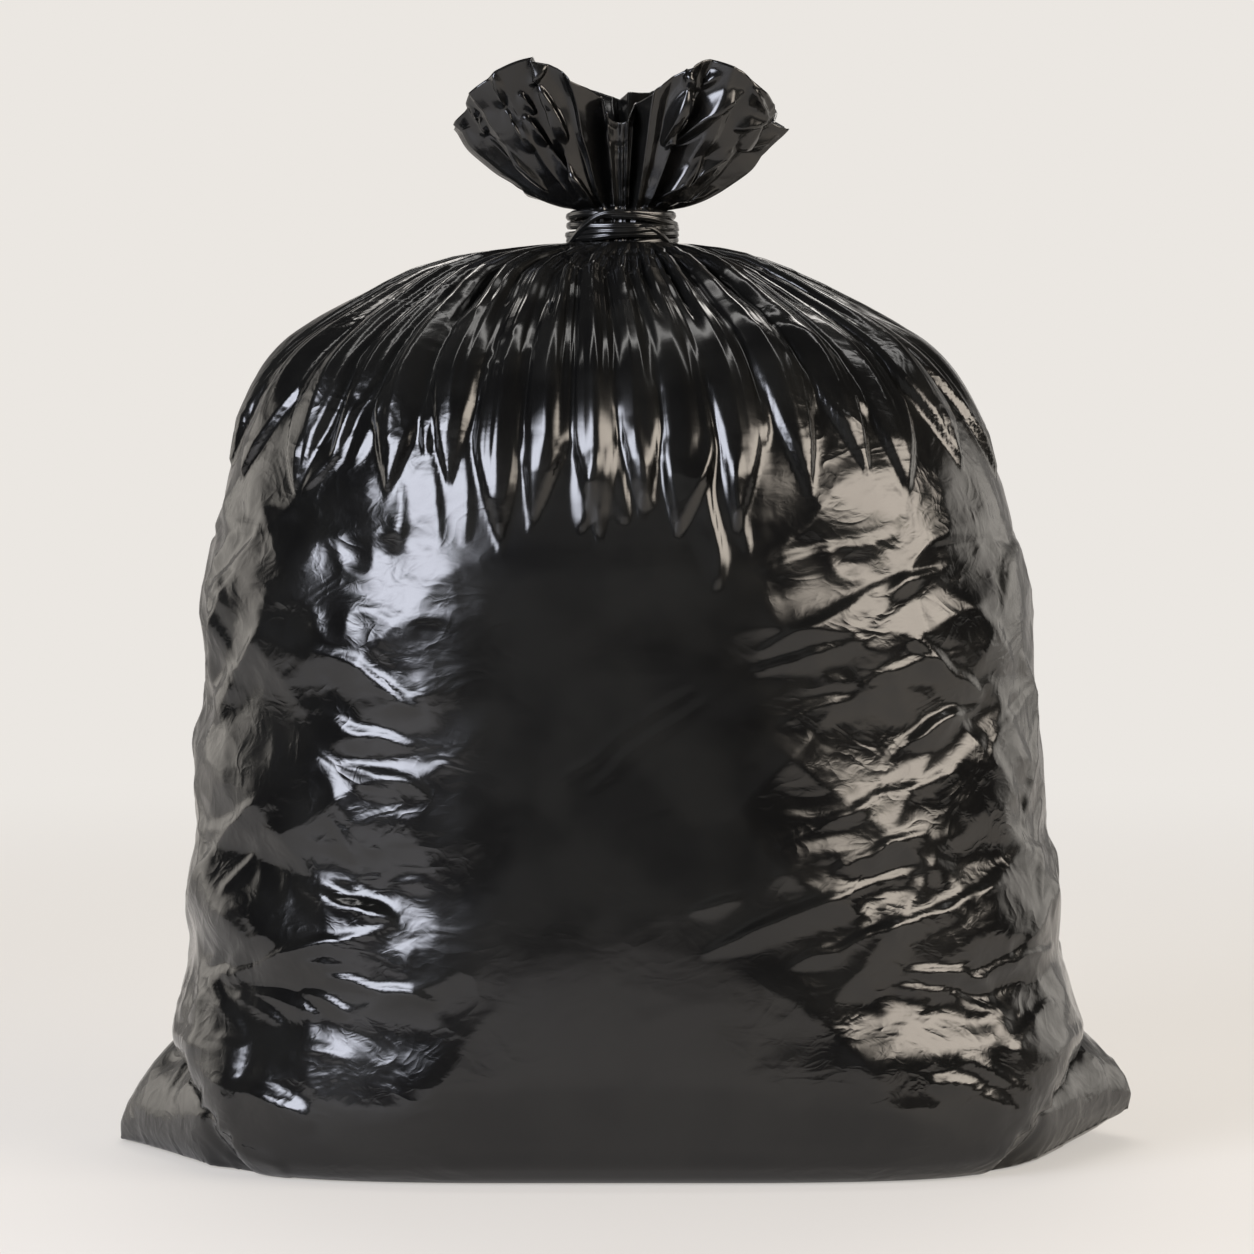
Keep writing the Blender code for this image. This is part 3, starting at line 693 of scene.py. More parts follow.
class Sheet:
    """The film's grid: where each point belongs (home), and what the simulation needs to know of it."""

    def __init__(self, film, strip, columns, body_rows, ruff_rows):
        """Lays out home: the body with its folds, then the neck and the ruff."""
        draw = np.random.default_rng(4)
        self.body_rows = body_rows
        self.neck_rows = max(3, ruff_rows // 12)
        angle = column_angles(columns)
        turn = np.arange(columns) / columns
        edge = np.minimum(turn % 0.5, 0.5 - turn % 0.5) / 0.25
        body = np.stack(
            [body_column(a, s, body_rows, film.neck_radius) for a, s in zip(angle, edge)], 2
        )
        height, radius = body[2], np.hypot(body[0], body[1])
        run = length_up(height)
        turns = turn[None, :] * np.ones_like(height)
        shares = np.linspace(0.0, 1.0, body_rows)[:, None] * np.ones_like(height)
        tips = fold_tips()
        relief = fold_relief(np.arctan2(body[1], body[0]) % FULL_TURN, radius, run, tips, draw)
        relief += neck_relief(angle, turns, height, radius, run, draw)
        sideways = np.abs(np.cos(angle))[None, :] ** 2 * np.ones_like(height)
        lumps = LUMP_HEIGHT * soft_noise(turns, shares, 9, 6, draw) * (0.2 + 0.8 * ease(sideways / 0.35))
        relief += lumps * ease((0.5 - height) / 0.1) * ease(height / 0.05)
        relief += side_relief(angle[None, :] * np.ones_like(height), height)
        body[0] += along_body(LEAN, height) * ease(height / 0.05)
        relief += body_folds(body, turns, shares, draw) + crumple(turns, shares, height, sideways, draw)
        relief *= ease((TOP_OF_BODY - height) / 0.006)
        body = body + film_normals(body) * relief
        ruff = ruff_shape(angle, ruff_rows, self.neck_rows, film, strip, draw)
        self.home = np.concatenate([body, ruff], 1).astype(np.float32)
        rows = body_rows + ruff_rows
        self.turns = turn[None, :] * np.ones((rows, 1))
        self.shares = np.linspace(0.0, 1.0, rows)[:, None] * np.ones((1, columns))
        self.sideways = np.abs(np.cos(angle))[None, :] ** 4 * np.ones((rows, 1))
        near = np.clip(1.0 - edge / CORNER_SHARE, 0.0, 1.0)[None, :] * np.ones((rows, 1))
        self.corner = np.where(self.home[2] < 0.08, near, 0.0)
        self.in_ruff = (np.arange(rows) >= body_rows + self.neck_rows)[:, None] * np.ones((1, columns))
        self.free = np.ones((rows, columns), np.float32)
        self.free[body_rows:body_rows + self.neck_rows + 1] = 0.0

    def slack(self):
        """How much longer the film is than home, round the sack and up it."""
        draw = np.random.default_rng(21)
        height = self.home[2]
        body = (1.0 - self.in_ruff) * ease((0.44 - height) / 0.06) * ease((height - 0.02) / 0.05)
        gathered = GATHERED_SLACK * ease((height - 0.40) / 0.1) * (1.0 - self.in_ruff)
        patches = np.maximum(soft_noise(self.turns, self.shares, 16, 12, draw), -0.3)
        even, patchy = ROUND_SLACK
        across = FILM_LENGTH + body * (even + patchy * patches) + gathered
        patches = np.maximum(soft_noise(self.turns, self.shares, 14, 10, draw), -0.3)
        low = ease((0.16 - height) / 0.12)
        even, at_sides, patchy, near_floor = UP_SLACK
        extra = even + at_sides * self.sideways + patchy * patches + near_floor * low
        along = FILM_LENGTH + body * extra
        return across, along

    def lengths(self):
        """Rest lengths of the grid's edges round and up the sack, and of both diagonals of each cell."""
        more_across, more_along = self.slack()
        across = np.roll(self.home, -1, 2) - self.home
        along = self.home[:, 1:] - self.home[:, :-1]
        cell_across = 0.5 * (more_across[1:] + more_across[:-1])
        cell_along = 0.5 * (more_along[1:] + more_along[:-1])
        wide = 0.5 * (across[:, 1:] + across[:, :-1]) * cell_across
        tall = 0.5 * (np.roll(along, -1, 2) + along) * cell_along
        found = (
            np.sqrt((across**2).sum(0)) * more_across,
            np.sqrt((along**2).sum(0)) * cell_along,
            np.sqrt(((tall + wide) ** 2).sum(0)),
            np.sqrt(((tall - wide) ** 2).sum(0)),
        )
        return [f.astype(np.float32) for f in found]


def hold_length(a, b, free_a, free_b, rest, firmness):
    """Moves pairs of points, in place, towards their rest length apart."""
    gap = b - a
    long = np.sqrt(np.einsum("kij,kij->ij", gap, gap)) + 1e-9
    gap *= firmness * (long - rest) / long / np.maximum(free_a + free_b, 1e-6)
    a += gap * free_a
    b -= gap * free_b


def hold_across(points, free, rest):
    """Holds the lengths round the sack, even pairs first and then odd ones."""
    hold_length(points[:, :, 0::2], points[:, :, 1::2], free[:, 0::2], free[:, 1::2], rest[:, 0::2], 1.0)
    turned, turned_free, turned_rest = np.roll(points, -1, 2), np.roll(free, -1, 1), np.roll(rest, -1, 1)
    hold_length(
        turned[:, :, 0::2], turned[:, :, 1::2], turned_free[:, 0::2], turned_free[:, 1::2],
        turned_rest[:, 0::2], 1.0,
    )
    return np.roll(turned, 1, 2)


def row_pairs(rows):
    """Slices of the lower and upper rows of each pair, even pairs and then odd ones."""
    for first in (0, 1):
        count = (rows - first) // 2
        yield slice(first, first + 2 * count, 2), slice(first + 1, first + 2 * count + 1, 2)


def hold_along(points, free, rest):
    """Holds the lengths up the sack."""
    for low, high in row_pairs(points.shape[1]):
        hold_length(points[:, low], points[:, high], free[low], free[high], rest[low], 1.0)
    return points


def hold_diagonals(points, free, rests):
    """Holds both diagonals of each cell, which keeps the film from shearing."""
    for shift, rest in zip((-1, 1), rests):
        turned, turned_free = np.roll(points, shift, 2), np.roll(free, shift, 1)
        rest = rest if shift == -1 else np.roll(rest, 1, 1)
        for low, high in row_pairs(points.shape[1]):
            upper = np.ascontiguousarray(turned[:, high])
            lower = points[:, low]
            hold_length(lower, upper, free[low], turned_free[high], rest[low], 0.6)
            points[:, high] = np.roll(upper, -shift, 2)
            turned[:, low] = np.roll(lower, shift, 2)
    return points


def stiffen(points, free, across, along, firmness):
    """A little stiffness against bending: each point's neighbours but one are kept apart."""
    for first in (0, 2):
        turned, turned_free = np.roll(points, -first, 2), np.roll(free, -first, 1)
        turned_rest = np.roll(across, -first, 1)
        for c in (0, 1):
            hold_length(
                turned[:, :, c::4], turned[:, :, c + 2::4], turned_free[:, c::4], turned_free[:, c + 2::4],
                2.0 * turned_rest[:, c::4], firmness,
            )
        points = np.roll(turned, first, 2)
    rows = points.shape[1]
    for first in range(4):
        count = (rows - 3 - first) // 4 + 1
        low = slice(first, first + 4 * count, 4)
        high = slice(first + 2, first + 2 + 4 * count, 4)
        hold_length(
            points[:, low][:, :count], points[:, high][:, :count], free[low][:count], free[high][:count],
            2.0 * along[low][:count], firmness,
        )
    return points


def relax(sheet, points, steps, push, glide, hold, firmness):
    """Simulates the film: the filling pushes it out, its lengths hold, and it may not leave its home by
    more than a fold's depth. Returns the settled points."""
    home, free = sheet.home, sheet.free
    across, along, rising, falling = sheet.lengths()
    outward = film_normals(home)
    high = ease((home[2] - 0.35) / 0.03)
    flap = sheet.corner > 0.0
    gentle = np.where(flap, FLAP_PUSH, 1.0)
    gentle = gentle * np.where(sheet.in_ruff > 0.0, 0.0, 1.0 - SHOULDER_PUSH_LOSS * high)
    push = (push * gentle * free).astype(np.float32)
    firmer = 1.0 + EXTRA_HOLD * sheet.in_ruff + EXTRA_HOLD * flap + EXTRA_HOLD * high
    hold = (hold * firmer * free).astype(np.float32)
    inner = np.where(sheet.in_ruff > 0.0, RUFF_SINK_LIMIT, SINK_LIMIT).astype(np.float32)
    outer = RISE_LIMIT + FLAP_RISE * flap - RUFF_RISE_LOSS * sheet.in_ruff - SHOULDER_RISE_LOSS * high
    outer = outer.astype(np.float32)
    mirror = (-np.arange(home.shape[2])) % home.shape[2]
    before = points.copy()
    for _ in range(steps):
        moved = points + (points - before) * glide + push * film_normals(points)
        away = home - points
        away -= outward * (outward * away).sum(0)
        moved += hold * away
        before, points = points, moved
        for _ in range(2):
            points = hold_across(points, free, across)
            points = hold_along(points, free, along)
            points = hold_diagonals(points, free, (rising, falling))
        points = stiffen(points, free, across, along, firmness)
        out = (outward * (points - home)).sum(0)
        points = points + outward * ((np.clip(out, -inner, outer) - out) * free)
        points[:, 0] = 0.5 * (points[:, 0] + points[:, 0][:, mirror])
        points[1, 0] *= 0.5
        under = points[2] < 0.0
        points[2] = np.maximum(points[2], 0.0)
        before[:2] = np.where(under, points[:2], before[:2])
        points = np.where(free == 0.0, home, points)
    return points


def refined(points):
    """The grid with a smooth new row and column between each two."""
    wide = np.empty((3, points.shape[1], 2 * points.shape[2]), np.float32)
    wide[:, :, 0::2] = points
    outer = np.roll(points, 1, 2) + np.roll(points, -2, 2)
    wide[:, :, 1::2] = (9.0 * (points + np.roll(points, -1, 2)) - outer) / 16.0
    tall = np.empty((3, 2 * wide.shape[1] - 1, wide.shape[2]), np.float32)
    tall[:, 0::2] = wide
    more = np.concatenate([2 * wide[:, :1] - wide[:, 1:2], wide, 2 * wide[:, -1:] - wide[:, -2:-1]], 1)
    tall[:, 1::2] = (9.0 * (more[:, 1:-2] + more[:, 2:-1]) - more[:, :-3] - more[:, 3:]) / 16.0
    return tall


def smoothed(moved, passes):
    """Takes out what changes from each point to the next in how far the points have moved."""
    for _ in range(passes):
        moved = 0.25 * (np.roll(moved, 1, 2) + np.roll(moved, -1, 2)) + 0.5 * moved
        moved[:, 1:-1] = 0.25 * (moved[:, :-2] + moved[:, 2:]) + 0.5 * moved[:, 1:-1]
    return moved


def settled_film(film, strip):
    """The film's points after a simulation on a coarse grid and one on the fine grid."""
    draw = np.random.default_rng(8)
    coarse = Sheet(film, strip, film.columns // 2, (film.body_rows + 1) // 2, (film.ruff_rows + 1) // 2)
    fine = Sheet(film, strip, film.columns, film.body_rows, film.ruff_rows)
    points = coarse.home + draw.normal(0.0, COARSE_JITTER, coarse.home.shape).astype(np.float32)
    points = relax(coarse, points, **COARSE_RUN)
    moved = refined(points) - refined(coarse.home)
    points = fine.home + moved[:, :fine.home.shape[1]]
    points += draw.normal(0.0, FINE_JITTER, points.shape).astype(np.float32)
    points = relax(fine, points, **FINE_RUN)
    points = fine.home + smoothed(points - fine.home, 2)
    points[1, 0] = 0.0
    points[2] = np.maximum(points[2], 0.0)
    return fine, points


def throat_rows(sheet, points, thickness):
    """Rows of the ruff's inner side, from the hem down into the gathered throat."""
    first = sheet.body_rows + sheet.neck_rows
    inside = points - film_normals(points) * thickness
    rows = []
    last = points.shape[1] - 1
    for j in range(last, first - 1, -1):
        row = inside[:, j].copy()
        open_share = ease((j - first) / (0.45 * (last - first)))
        row[:2] *= max(0.06, open_share) ** 0.6
        rows.append(row)
    return np.stack(rows, 1)


def film_mesh(name, sheet, points, thickness):
    """One closed mesh: the sack's outside, the hem, the ruff's inside and a point in the throat. The front
    and back edges of the seam share their points."""
    grid = np.concatenate([points, throat_rows(sheet, points, thickness)], 1)
    rows, columns = grid.shape[1:]
    index = np.arange(rows * columns).reshape(rows, columns)
    index[0] = np.minimum(index[0], index[0][(-np.arange(columns)) % columns])
    kept = np.unique(index)
    index = np.searchsorted(kept, index)
    throat = grid[:, -1].mean(1) - np.array([0.0, 0.0, 0.002])
    vertices = np.vstack([grid.transpose(1, 2, 0).reshape(-1, 3)[kept], throat])
    after = np.roll(index, -1, 1)
    quads = np.stack([index[:-1], after[:-1], after[1:], index[1:]], -1).reshape(-1, 4)
    faces = quads.tolist() + [[int(a), int(b), len(kept)] for a, b in zip(index[-1], after[-1])]
    mesh = bpy.data.meshes.new(name)
    mesh.from_pydata(vertices.tolist(), [], faces)
    mesh.validate()
    mesh.shade_smooth()
    return mesh


def linear(code):
    """An sRGB hex colour as a linear one with alpha."""
    parts = [int(code[n:n + 2], 16) / 255.0 for n in (0, 2, 4)]
    return (*[p / 12.92 if p <= 0.04045 else ((p + 0.055) / 1.055) ** 2.4 for p in parts], 1.0)


def add(tree, kind, settings=None, inputs=None, **named):
    """Adds a node, with its properties and its inputs, each a value or the socket that it is linked to."""
    made = tree.nodes.new(kind)
    for name, value in (settings or {}).items():
        setattr(made, name, value)
    for name, value in {**(inputs or {}), **named}.items():
        if isinstance(value, bpy.types.NodeSocket):
            tree.links.new(value, made.inputs[name])
        else:
            made.inputs[name].default_value = value
    return made


def new_material(name, **values):
    """A material with a Principled shader, its values set on its own sockets: (it, its tree, its shader)."""
    material = bpy.data.materials.new(name)
    material.use_nodes = True
    shader = material.node_tree.nodes["Principled BSDF"]
    for socket, value in values.items():
        shader.inputs[socket.replace("_", " ")].default_value = value
    return material, material.node_tree, shader


def drifting(tree, shader, place, scale, rough, colours):
    """Lets the roughness and the colour drift together in smooth patches, scale of them to the metre."""
    noise = add(tree, "ShaderNodeTexNoise", Vector=place, Scale=scale, Detail=3.0)
    share = add(tree, "ShaderNodeMapRange", {"interpolation_type": "SMOOTHSTEP"}, {
        "Value": noise.outputs["Fac"], "From Min": 0.35, "From Max": 0.65,
    }).outputs["Result"]
    roughness = add(tree, "ShaderNodeMapRange", None, {
        "Value": share, "To Min": rough[0], "To Max": rough[1],
    })
    tree.links.new(roughness.outputs["Result"], shader.inputs["Roughness"])
    mixed = add(tree, "ShaderNodeMix", {"data_type": "RGBA"}, {0: share, 6: colours[0], 7: colours[1]})
    tree.links.new(mixed.outputs[2], shader.inputs["Base Color"])


def film_material(film):
    """Black low-density polyethylene film, blown: glossy, with fine crinkles where it was handled."""
    material, tree, shader = new_material("blown_polyethylene_film", IOR=1.51)
    place = add(tree, "ShaderNodeTexCoord").outputs["Object"]
    parts = add(tree, "ShaderNodeSeparateXYZ", Vector=place)
    sideways = add(tree, "ShaderNodeMath", {"operation": "ABSOLUTE"}, {0: parts.outputs["X"]})
    crushed = add(tree, "ShaderNodeMapRange", {"interpolation_type": "SMOOTHSTEP"}, {
        "Value": sideways.outputs[0], "From Min": 0.05, "From Max": 0.15, "To Min": 0.12, "To Max": 1.0,
    }).outputs["Result"]
    # Crinkles where the film was crushed: crests about 26 mm apart with finer ones of 8 mm between them
    normal = None
    for scale, deep, strength, turn in ((38.0, 0.0030, 0.45, 0.6), (120.0, 0.0008, 0.30, -0.5)):
        turned = add(tree, "ShaderNodeMapping", Vector=place, Rotation=(0.3, turn, 0.0),
                     Scale=(0.6, 1.0, 1.0))
        noise = add(tree, "ShaderNodeTexNoise", Vector=turned.outputs["Vector"], Scale=scale, Detail=2.0,
                    Distortion=0.9)
        middle = add(tree, "ShaderNodeMath", {"operation": "SUBTRACT"}, {0: noise.outputs["Fac"], 1: 0.5})
        crest = add(tree, "ShaderNodeMath", {"operation": "ABSOLUTE"}, {0: middle.outputs[0]})
        felt = add(tree, "ShaderNodeMath", {"operation": "MULTIPLY"}, {0: crushed, 1: strength})
        crinkle = add(tree, "ShaderNodeBump", {"invert": True}, Height=crest.outputs[0], Distance=deep,
                      Strength=felt.outputs[0])
        if normal:
            tree.links.new(normal, crinkle.inputs["Normal"])
        normal = crinkle.outputs["Normal"]
    tree.links.new(normal, shader.inputs["Normal"])
    # Haze where hands and folds have rubbed the film, in patches of about 50 mm
    drifting(tree, shader, place, 20.0, (0.13, 0.18), (linear(film.colour), linear(film.haze)))
    return material


def strip_material(strip):
    """The same film stretched tight and wound: glossy, with fine creases along its length."""
    material, tree, shader = new_material("stretched_polyethylene_strip", IOR=1.51)
    place = add(tree, "ShaderNodeTexCoord").outputs["Object"]
    # Creases 1.2 mm apart across the strip and about 11 mm long
    drawn = add(tree, "ShaderNodeMapping", Vector=place, Scale=(1.0, 1.0, 9.0))
    noise = add(tree, "ShaderNodeTexNoise", Vector=drawn.outputs["Vector"], Scale=90.0, Detail=1.0)
    creases = add(tree, "ShaderNodeBump", Height=noise.outputs["Fac"], Distance=0.0002, Strength=0.4)
    tree.links.new(creases.outputs["Normal"], shader.inputs["Normal"])
    # Haze in patches of about 17 mm
    drifting(tree, shader, place, 60.0, (0.12, 0.20), (linear(strip.colour), linear(strip.haze)))
    return material


def linked(name, data):
    """An object in the scene, with its data."""
    made = bpy.data.objects.new(name, data)
    bpy.context.scene.collection.objects.link(made)
    return made


class BINBAG_OT_sack(bpy.types.Operator):
    """Makes the sack's film: filled body, sealed corners, pleats, neck and ruff in one piece."""

    bl_idname = "binbag.sack"
    bl_label = "Sack film"

    def execute(self, context):
        film, strip = context.scene.binbag_film, context.scene.binbag_strip
        sheet, points = settled_film(film, strip)
        mesh = film_mesh("sack_film", sheet, points, film.thickness)
        mesh.materials.append(film_material(film))
        sack = linked("sack_film", mesh)
        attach(sack, "root")
        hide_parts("sack")
        return {"FINISHED"}


def strand_tree(material):
    """Geometry Nodes that sweep a ridged, flattened section along a path, for one strand of the strip."""
    tree = bpy.data.node_groups.new("strip_strand", "GeometryNodeTree")
    face = tree.interface
    face.new_socket("Geometry", in_out="INPUT", socket_type="NodeSocketGeometry")
    sizes = {"Half width": 0.0018, "Half thickness": 0.0022, "Ridge": 0.00008, "Ridges": 7.0}
    for name, value in sizes.items():
        socket = face.new_socket(name, in_out="INPUT", socket_type="NodeSocketFloat")
        socket.default_value = value
    face.new_socket("Geometry", in_out="OUTPUT", socket_type="NodeSocketGeometry")
    given = add(tree, "NodeGroupInput").outputs
    section = add(tree, "GeometryNodeCurvePrimitiveCircle", Resolution=64, Radius=1.0)
    place = add(tree, "GeometryNodeInputPosition").outputs["Position"]
    parts = add(tree, "ShaderNodeSeparateXYZ", Vector=place).outputs
    turn = add(tree, "ShaderNodeMath", {"operation": "ARCTAN2"}, {0: parts["Y"], 1: parts["X"]})
    many = add(tree, "ShaderNodeMath", {"operation": "MULTIPLY"}, {0: turn.outputs[0], 1: given["Ridges"]})
    wave = add(tree, "ShaderNodeMath", {"operation": "SINE"}, {0: many.outputs[0]})
    ridge = add(tree, "ShaderNodeMath", {"operation": "MULTIPLY"}, {0: wave.outputs[0], 1: given["Ridge"]})
    sides = {}
    for axis, half in (("X", "Half width"), ("Y", "Half thickness")):
        reach = add(tree, "ShaderNodeMath", {"operation": "ADD"}, {0: given[half], 1: ridge.outputs[0]})
        side = add(tree, "ShaderNodeMath", {"operation": "MULTIPLY"}, {0: parts[axis], 1: reach.outputs[0]})
        sides[axis] = side.outputs[0]
    joined = add(tree, "ShaderNodeCombineXYZ", None, sides)
    shaped = add(tree, "GeometryNodeSetPosition", Geometry=section.outputs["Curve"],
                 Position=joined.outputs["Vector"])
    swept = add(tree, "GeometryNodeCurveToMesh", None, {
        "Curve": given["Geometry"], "Profile Curve": shaped.outputs["Geometry"], "Fill Caps": True,
    })
    smooth = add(tree, "GeometryNodeSetShadeSmooth", Geometry=swept.outputs["Mesh"])
    real = add(tree, "GeometryNodeRealizeInstances", Geometry=smooth.outputs["Geometry"])
    dressed = add(tree, "GeometryNodeSetMaterial", Geometry=real.outputs["Geometry"], Material=material)
    add(tree, "NodeGroupOutput", Geometry=dressed.outputs["Geometry"])
    return tree


def strand_path(points, cyclic):
    """A poly curve through points, with its width lying along the neck."""
    curve = bpy.data.curves.new("strand_path", "CURVE")
    curve.dimensions = "3D"
    curve.twist_mode = "Z_UP"
    spline = curve.splines.new("POLY")
    spline.points.add(len(points) - 1)
    for point, place in zip(spline.points, points):
        point.co = (*place, 1.0)
    spline.use_cyclic_u = cyclic
    return curve


def swept(name, curve, tree, values):
    """The plain mesh that the strand tree makes of a path."""
    path = linked(name + "_path", curve)
    modifier = path.modifiers.new("strand", "NODES")
    modifier.node_group = tree
    for item in tree.interface.items_tree:
        if item.item_type == "SOCKET" and item.in_out == "INPUT" and item.name in values:
            modifier[item.identifier] = values[item.name]
    graph = bpy.context.evaluated_depsgraph_get()
    mesh = bpy.data.meshes.new_from_object(path.evaluated_get(graph), depsgraph=graph)
    path.modifiers.remove(modifier)
    bpy.data.objects.remove(path)
    mesh.name = name
    return mesh


def loop_points(strip, share, draw):
    """Points of one turn of the strip, closed on itself. share is 0 at the strip's lower edge and 1 at its
    upper one, and each turn slopes its own way, so that they cross."""
    middle = strip.low + STRAND_EDGE + (strip.high - strip.low - 2.0 * STRAND_EDGE) * share
    room = min(middle - strip.low, strip.high - middle) - STRAND_EDGE
    slope, phase = min(0.0038, room + 0.0010) * draw.uniform(0.4, 1.0), draw.uniform(0.0, FULL_TURN)
    out = strip.radius + 0.0011 * math.sin(math.pi * share) + draw.uniform(-0.0006, 0.0006)
    sway, twist = draw.uniform(0.0001, 0.0005), draw.uniform(0.0, FULL_TURN)
    points = []
    for n in range(STRAND_STEPS):
        angle = FULL_TURN * n / STRAND_STEPS
        radius = out + sway * math.sin(3.0 * angle + twist) + 0.0002 * math.sin(7.0 * angle + phase)
        height = middle + slope * math.sin(angle + phase) + 0.0003 * math.sin(5.0 * angle + twist)
        points.append((radius * math.cos(angle), radius * math.sin(angle), height))
    return points


def crossing_points(strip, first, last, low, high, lift):
    """Points of a stretch that climbs across the turns between two angles, in degrees, with both ends
    tucked in. low and high are shares of the strip's height."""
    points = []
    for n in range(STRAND_STEPS + 1):
        share = n / STRAND_STEPS
        angle = math.radians(first + (last - first) * share)
        out = strip.radius - 0.0012 + lift * math.sin(math.pi * share) ** 0.6
        climb = float(ease((share - 0.2) / 0.6))
        height = strip.low + (strip.high - strip.low) * (low + (high - low) * climb)
        points.append((out * math.cos(angle), out * math.sin(angle), height))
    return points


class BINBAG_OT_strip(bpy.types.Operator):
    """Makes the wound strip: its turns, the turn that crosses them and the tucked tail."""

    bl_idname = "binbag.strip"
    bl_label = "Wound strip"

    def execute(self, context):
        strip = context.scene.binbag_strip
        tree = strand_tree(strip_material(strip))
        draw = np.random.default_rng(12)
        strands = []
        for n in range(strip.turns):
            points = loop_points(strip, n / (strip.turns - 1), draw)
            strands.append(("strip_turn_%d" % (n + 1), points, True, draw.uniform(*TURN_HALF_WIDTH)))
        strands.append(("strip_crossing", crossing_points(strip, *CROSSING), False, CROSSING_HALF_WIDTH))
        strands.append(("strip_tail", crossing_points(strip, *TAIL), False, TAIL_HALF_WIDTH))
        for name, points, closed, half_width in strands:
            mesh = swept(name, strand_path(points, closed), tree, {"Half width": half_width})
            strand = linked(name, mesh)
            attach(strand, "root")
            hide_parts("neck_strip")
        return {"FINISHED"}


def sweep_mesh():
    """A floor that curves up into a backdrop."""
    bend, turn_at = 1.4, 3.2
    line = [(-4.0, 0.0), (turn_at, 0.0)]
    for k in range(1, 13):
        angle = 0.5 * math.pi * k / 12
        line.append((turn_at + bend * math.sin(angle), bend * (1.0 - math.cos(angle))))
    line.append((turn_at + bend, 4.0))
    vertices = [(x, y, z) for y, z in line for x in (-4.0, 4.0)]
    faces = [(2 * k, 2 * k + 1, 2 * k + 3, 2 * k + 2) for k in range(len(line) - 1)]
    mesh = bpy.data.meshes.new("floor_and_backdrop")
    mesh.from_pydata(vertices, [], faces)
    mesh.shade_smooth()
    return mesh


def toward(azimuth, elevation):
    """The direction at an azimuth to the right of the camera's side, and an elevation, in degrees."""
    a, e = math.radians(azimuth), math.radians(elevation)
    return Vector((math.sin(a) * math.cos(e), -math.cos(a) * math.cos(e), math.sin(e)))


def softbox(name, place, aim, size, power, colour, core=1.5):
    """An area lamp that is brightest in its middle, as a cloth over a lamp is. core is how bright."""
    lamp = bpy.data.lights.new(name, "AREA")
    lamp.use_nodes = True
    tree = lamp.node_tree
    cloth = add(tree, "ShaderNodeNewGeometry").outputs["Parametric"]
    parts = add(tree, "ShaderNodeSeparateXYZ", Vector=cloth).outputs
    flat = add(tree, "ShaderNodeCombineXYZ", X=parts["X"], Y=parts["Y"]).outputs["Vector"]
    away = add(tree, "ShaderNodeVectorMath", {"operation": "DISTANCE"}, {0: flat, 1: (0.5, 0.5, 0.0)})
    bright = add(tree, "ShaderNodeMapRange", {"interpolation_type": "SMOOTHSTEP"}, {
        "Value": away.outputs["Value"], "From Min": SOFTBOX_CORE, "From Max": SOFTBOX_RIM,
        "To Min": core, "To Max": RIM_BRIGHTNESS,
    })
    tree.links.new(bright.outputs["Result"], tree.nodes["Emission"].inputs["Strength"])
    lamp.shape = "RECTANGLE"
    lamp.size, lamp.size_y = size
    lamp.energy = power
    lamp.color = linear(colour)[:3]
    made = linked(name, lamp)
    made.visible_camera = False
    made.location = place
    made.rotation_euler = (Vector(aim) - Vector(place)).to_track_quat("-Z", "Y").to_euler()


def light_studio(stage):
    """A cool softbox at the front left, a warm one at the front right and dim ones all round."""
    left, right = Vector((-0.1, -0.15, 0.33)), Vector((0.15, -0.1, 0.33))
    middle, belly = Vector((0.0, 0.0, 0.35)), (0.0, 0.0, 0.3)
    softbox("cool_softbox", left + toward(-43, 19) * 2.2, left, (1.65, 1.20), stage.cool_power, "EDF1FF")
    softbox("warm_softbox", right + toward(59, 20) * 2.2, right, (2.4, 1.05), stage.warm_power, "FFF2E2")
    softbox("top_softbox", (0.0, 1.9, 3.3), (0.0, 0.6, 0.0), (3.2, 1.0), stage.top_power, "FFFAF4")
    for name, x in (("left_bar", -0.9), ("right_bar", 0.9)):
        softbox(name, (x, -0.3, 3.0), (0.0, -0.1, 0.3), (0.35, 2.6), stage.bar_power, "FBF9F6")
    softbox("front_panel", (0.0, -5.4, 1.1), belly, (5.0, 2.0), stage.front_power, "F6F4F0", 1.1)
    softbox("back_panel", (0.5, 3.8, 1.5), belly, (2.6, 1.6), stage.back_power, "F6F4F0", 1.1)
    for name, azimuth in (("left_panel", -118.0), ("right_panel", 118.0)):
        place = middle + toward(azimuth, 8) * 3.0
        softbox(name, place, middle, (2.4, 1.8), stage.panel_power, "FFF8EE")


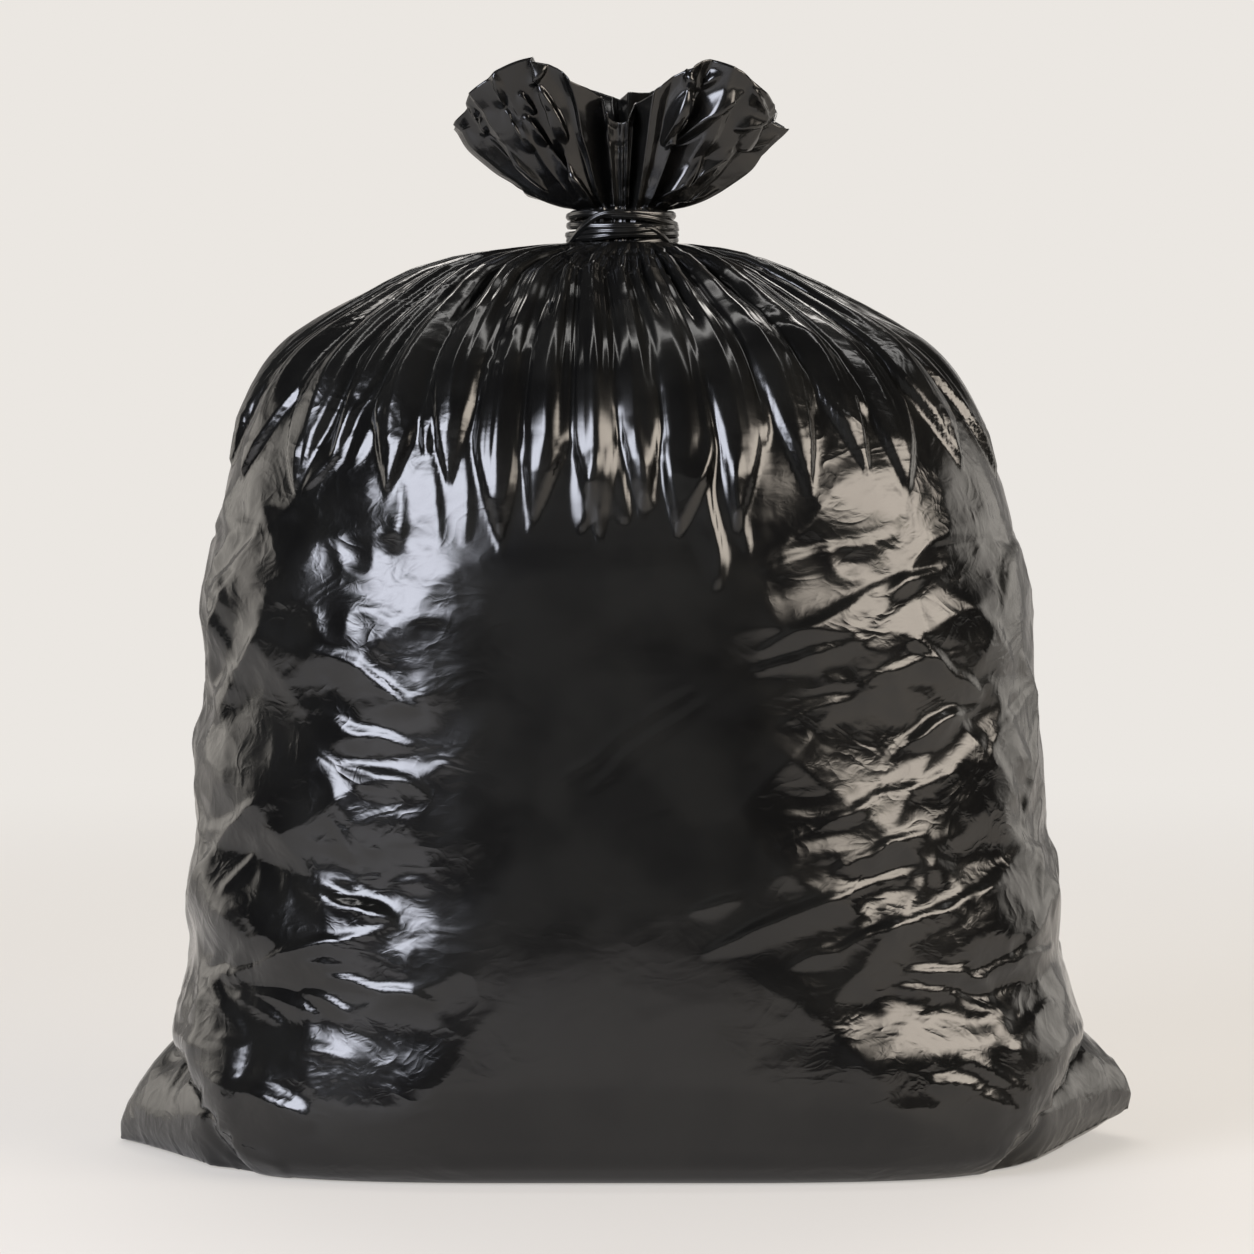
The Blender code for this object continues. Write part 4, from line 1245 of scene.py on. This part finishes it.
def floor_material(stage):
    """Matt studio paint. Part of its colour needs no light, more of it far from the sack, and the floor
    near the sack keeps the shadow."""
    colour = linear(stage.floor_colour)
    material, tree, shader = new_material(
        "painted_studio_floor", Base_Color=(*[0.82 * c for c in colour[:3]], 1.0), Roughness=0.6,
        Specular_IOR_Level=0.2,
    )
    path = add(tree, "ShaderNodeLightPath").outputs
    place = add(tree, "ShaderNodeTexCoord").outputs["Object"]
    away = add(tree, "ShaderNodeVectorMath", {"operation": "LENGTH"}, {0: place})
    seen = add(tree, "ShaderNodeMapRange", {"interpolation_type": "SMOOTHSTEP"}, {
        "Value": away.outputs["Value"], "From Min": 0.5, "From Max": 3.0,
        "To Min": stage.floor_glow, "To Max": stage.wall_glow,
    })
    reflected = add(tree, "ShaderNodeMath", {"operation": "MULTIPLY"}, {
        0: path["Is Glossy Ray"], 1: 0.5 * stage.floor_glow,
    })
    part = add(tree, "ShaderNodeMath", {"operation": "MULTIPLY_ADD"}, {
        0: path["Is Camera Ray"], 1: seen.outputs["Result"], 2: reflected.outputs[0],
    })
    glow = add(tree, "ShaderNodeEmission", Color=colour)
    mixed = add(tree, "ShaderNodeMixShader", None, {
        0: part.outputs[0], 1: shader.outputs["BSDF"], 2: glow.outputs["Emission"],
    })
    tree.links.new(mixed.outputs["Shader"], tree.nodes["Material Output"].inputs["Surface"])
    return material


def dim_room(stage):
    """A world that gives the sack little light and shows the camera the backdrop's colour."""
    world = bpy.data.worlds.new("dim_room")
    world.use_nodes = True
    tree = world.node_tree
    path = add(tree, "ShaderNodeLightPath").outputs
    strength = add(tree, "ShaderNodeMapRange", None, {
        "Value": path["Is Camera Ray"], "To Min": stage.room_light, "To Max": stage.wall_glow,
    })
    room = tree.nodes["Background"].inputs
    room["Color"].default_value = linear(stage.floor_colour)
    tree.links.new(strength.outputs["Result"], room["Strength"])
    return world


class BINBAG_OT_stage(bpy.types.Operator):
    """Makes the floor and backdrop, the softboxes, the dim room and the camera."""

    bl_idname = "binbag.stage"
    bl_label = "Studio"

    def execute(self, context):
        stage = context.scene.binbag_stage
        mesh = sweep_mesh()
        mesh.materials.append(floor_material(stage))
        linked("floor_and_backdrop", mesh)
        light_studio(stage)
        context.scene.world = dim_room(stage)
        lens = bpy.data.cameras.new("camera")
        lens.lens = CAMERA_LENS
        camera = linked("camera", lens)
        camera.location = CAMERA_PLACE
        camera.rotation_euler = (Vector(CAMERA_AIM) - camera.location).to_track_quat("-Z", "Y").to_euler()
        context.scene.camera = camera
        context.scene.view_settings.view_transform = "Standard"
        return {"FINISHED"}


class BINBAG_PT_looks(bpy.types.Panel):
    """Lists the operators in the 3D view's sidebar."""

    bl_idname = "BINBAG_PT_looks"
    bl_label = "Bin bag"
    bl_space_type = "VIEW_3D"
    bl_region_type = "UI"
    bl_category = "Bin bag"

    def draw(self, context):
        for operator in OPERATORS:
            self.layout.operator(operator.bl_idname)
        for group in SETTINGS:
            settings = getattr(context.scene, group)
            for name in settings.bl_rna.properties.keys():
                if name not in ("rna_type", "name"):
                    self.layout.prop(settings, name)


SETTINGS = {
    "binbag_film": FilmSettings,
    "binbag_strip": StripSettings,
    "binbag_stage": StageSettings,
}
OPERATORS = (BINBAG_OT_sack, BINBAG_OT_strip, BINBAG_OT_stage)


def register():
    """Registers the settings, the operators and the panel."""
    for made in (*SETTINGS.values(), *OPERATORS, BINBAG_PT_looks):
        bpy.utils.register_class(made)
    for name, made in SETTINGS.items():
        setattr(bpy.types.Scene, name, bpy.props.PointerProperty(type=made))


def unregister():
    """Takes them out again."""
    for name in SETTINGS:
        delattr(bpy.types.Scene, name)
    for made in reversed((*SETTINGS.values(), *OPERATORS, BINBAG_PT_looks)):
        bpy.utils.unregister_class(made)


def main():
    """Makes every piece and the stage."""
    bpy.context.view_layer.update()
    register()
    bpy.ops.binbag.sack()
    bpy.ops.binbag.strip()
    bpy.ops.binbag.stage()
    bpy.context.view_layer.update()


if __name__ == "__main__":
    main()
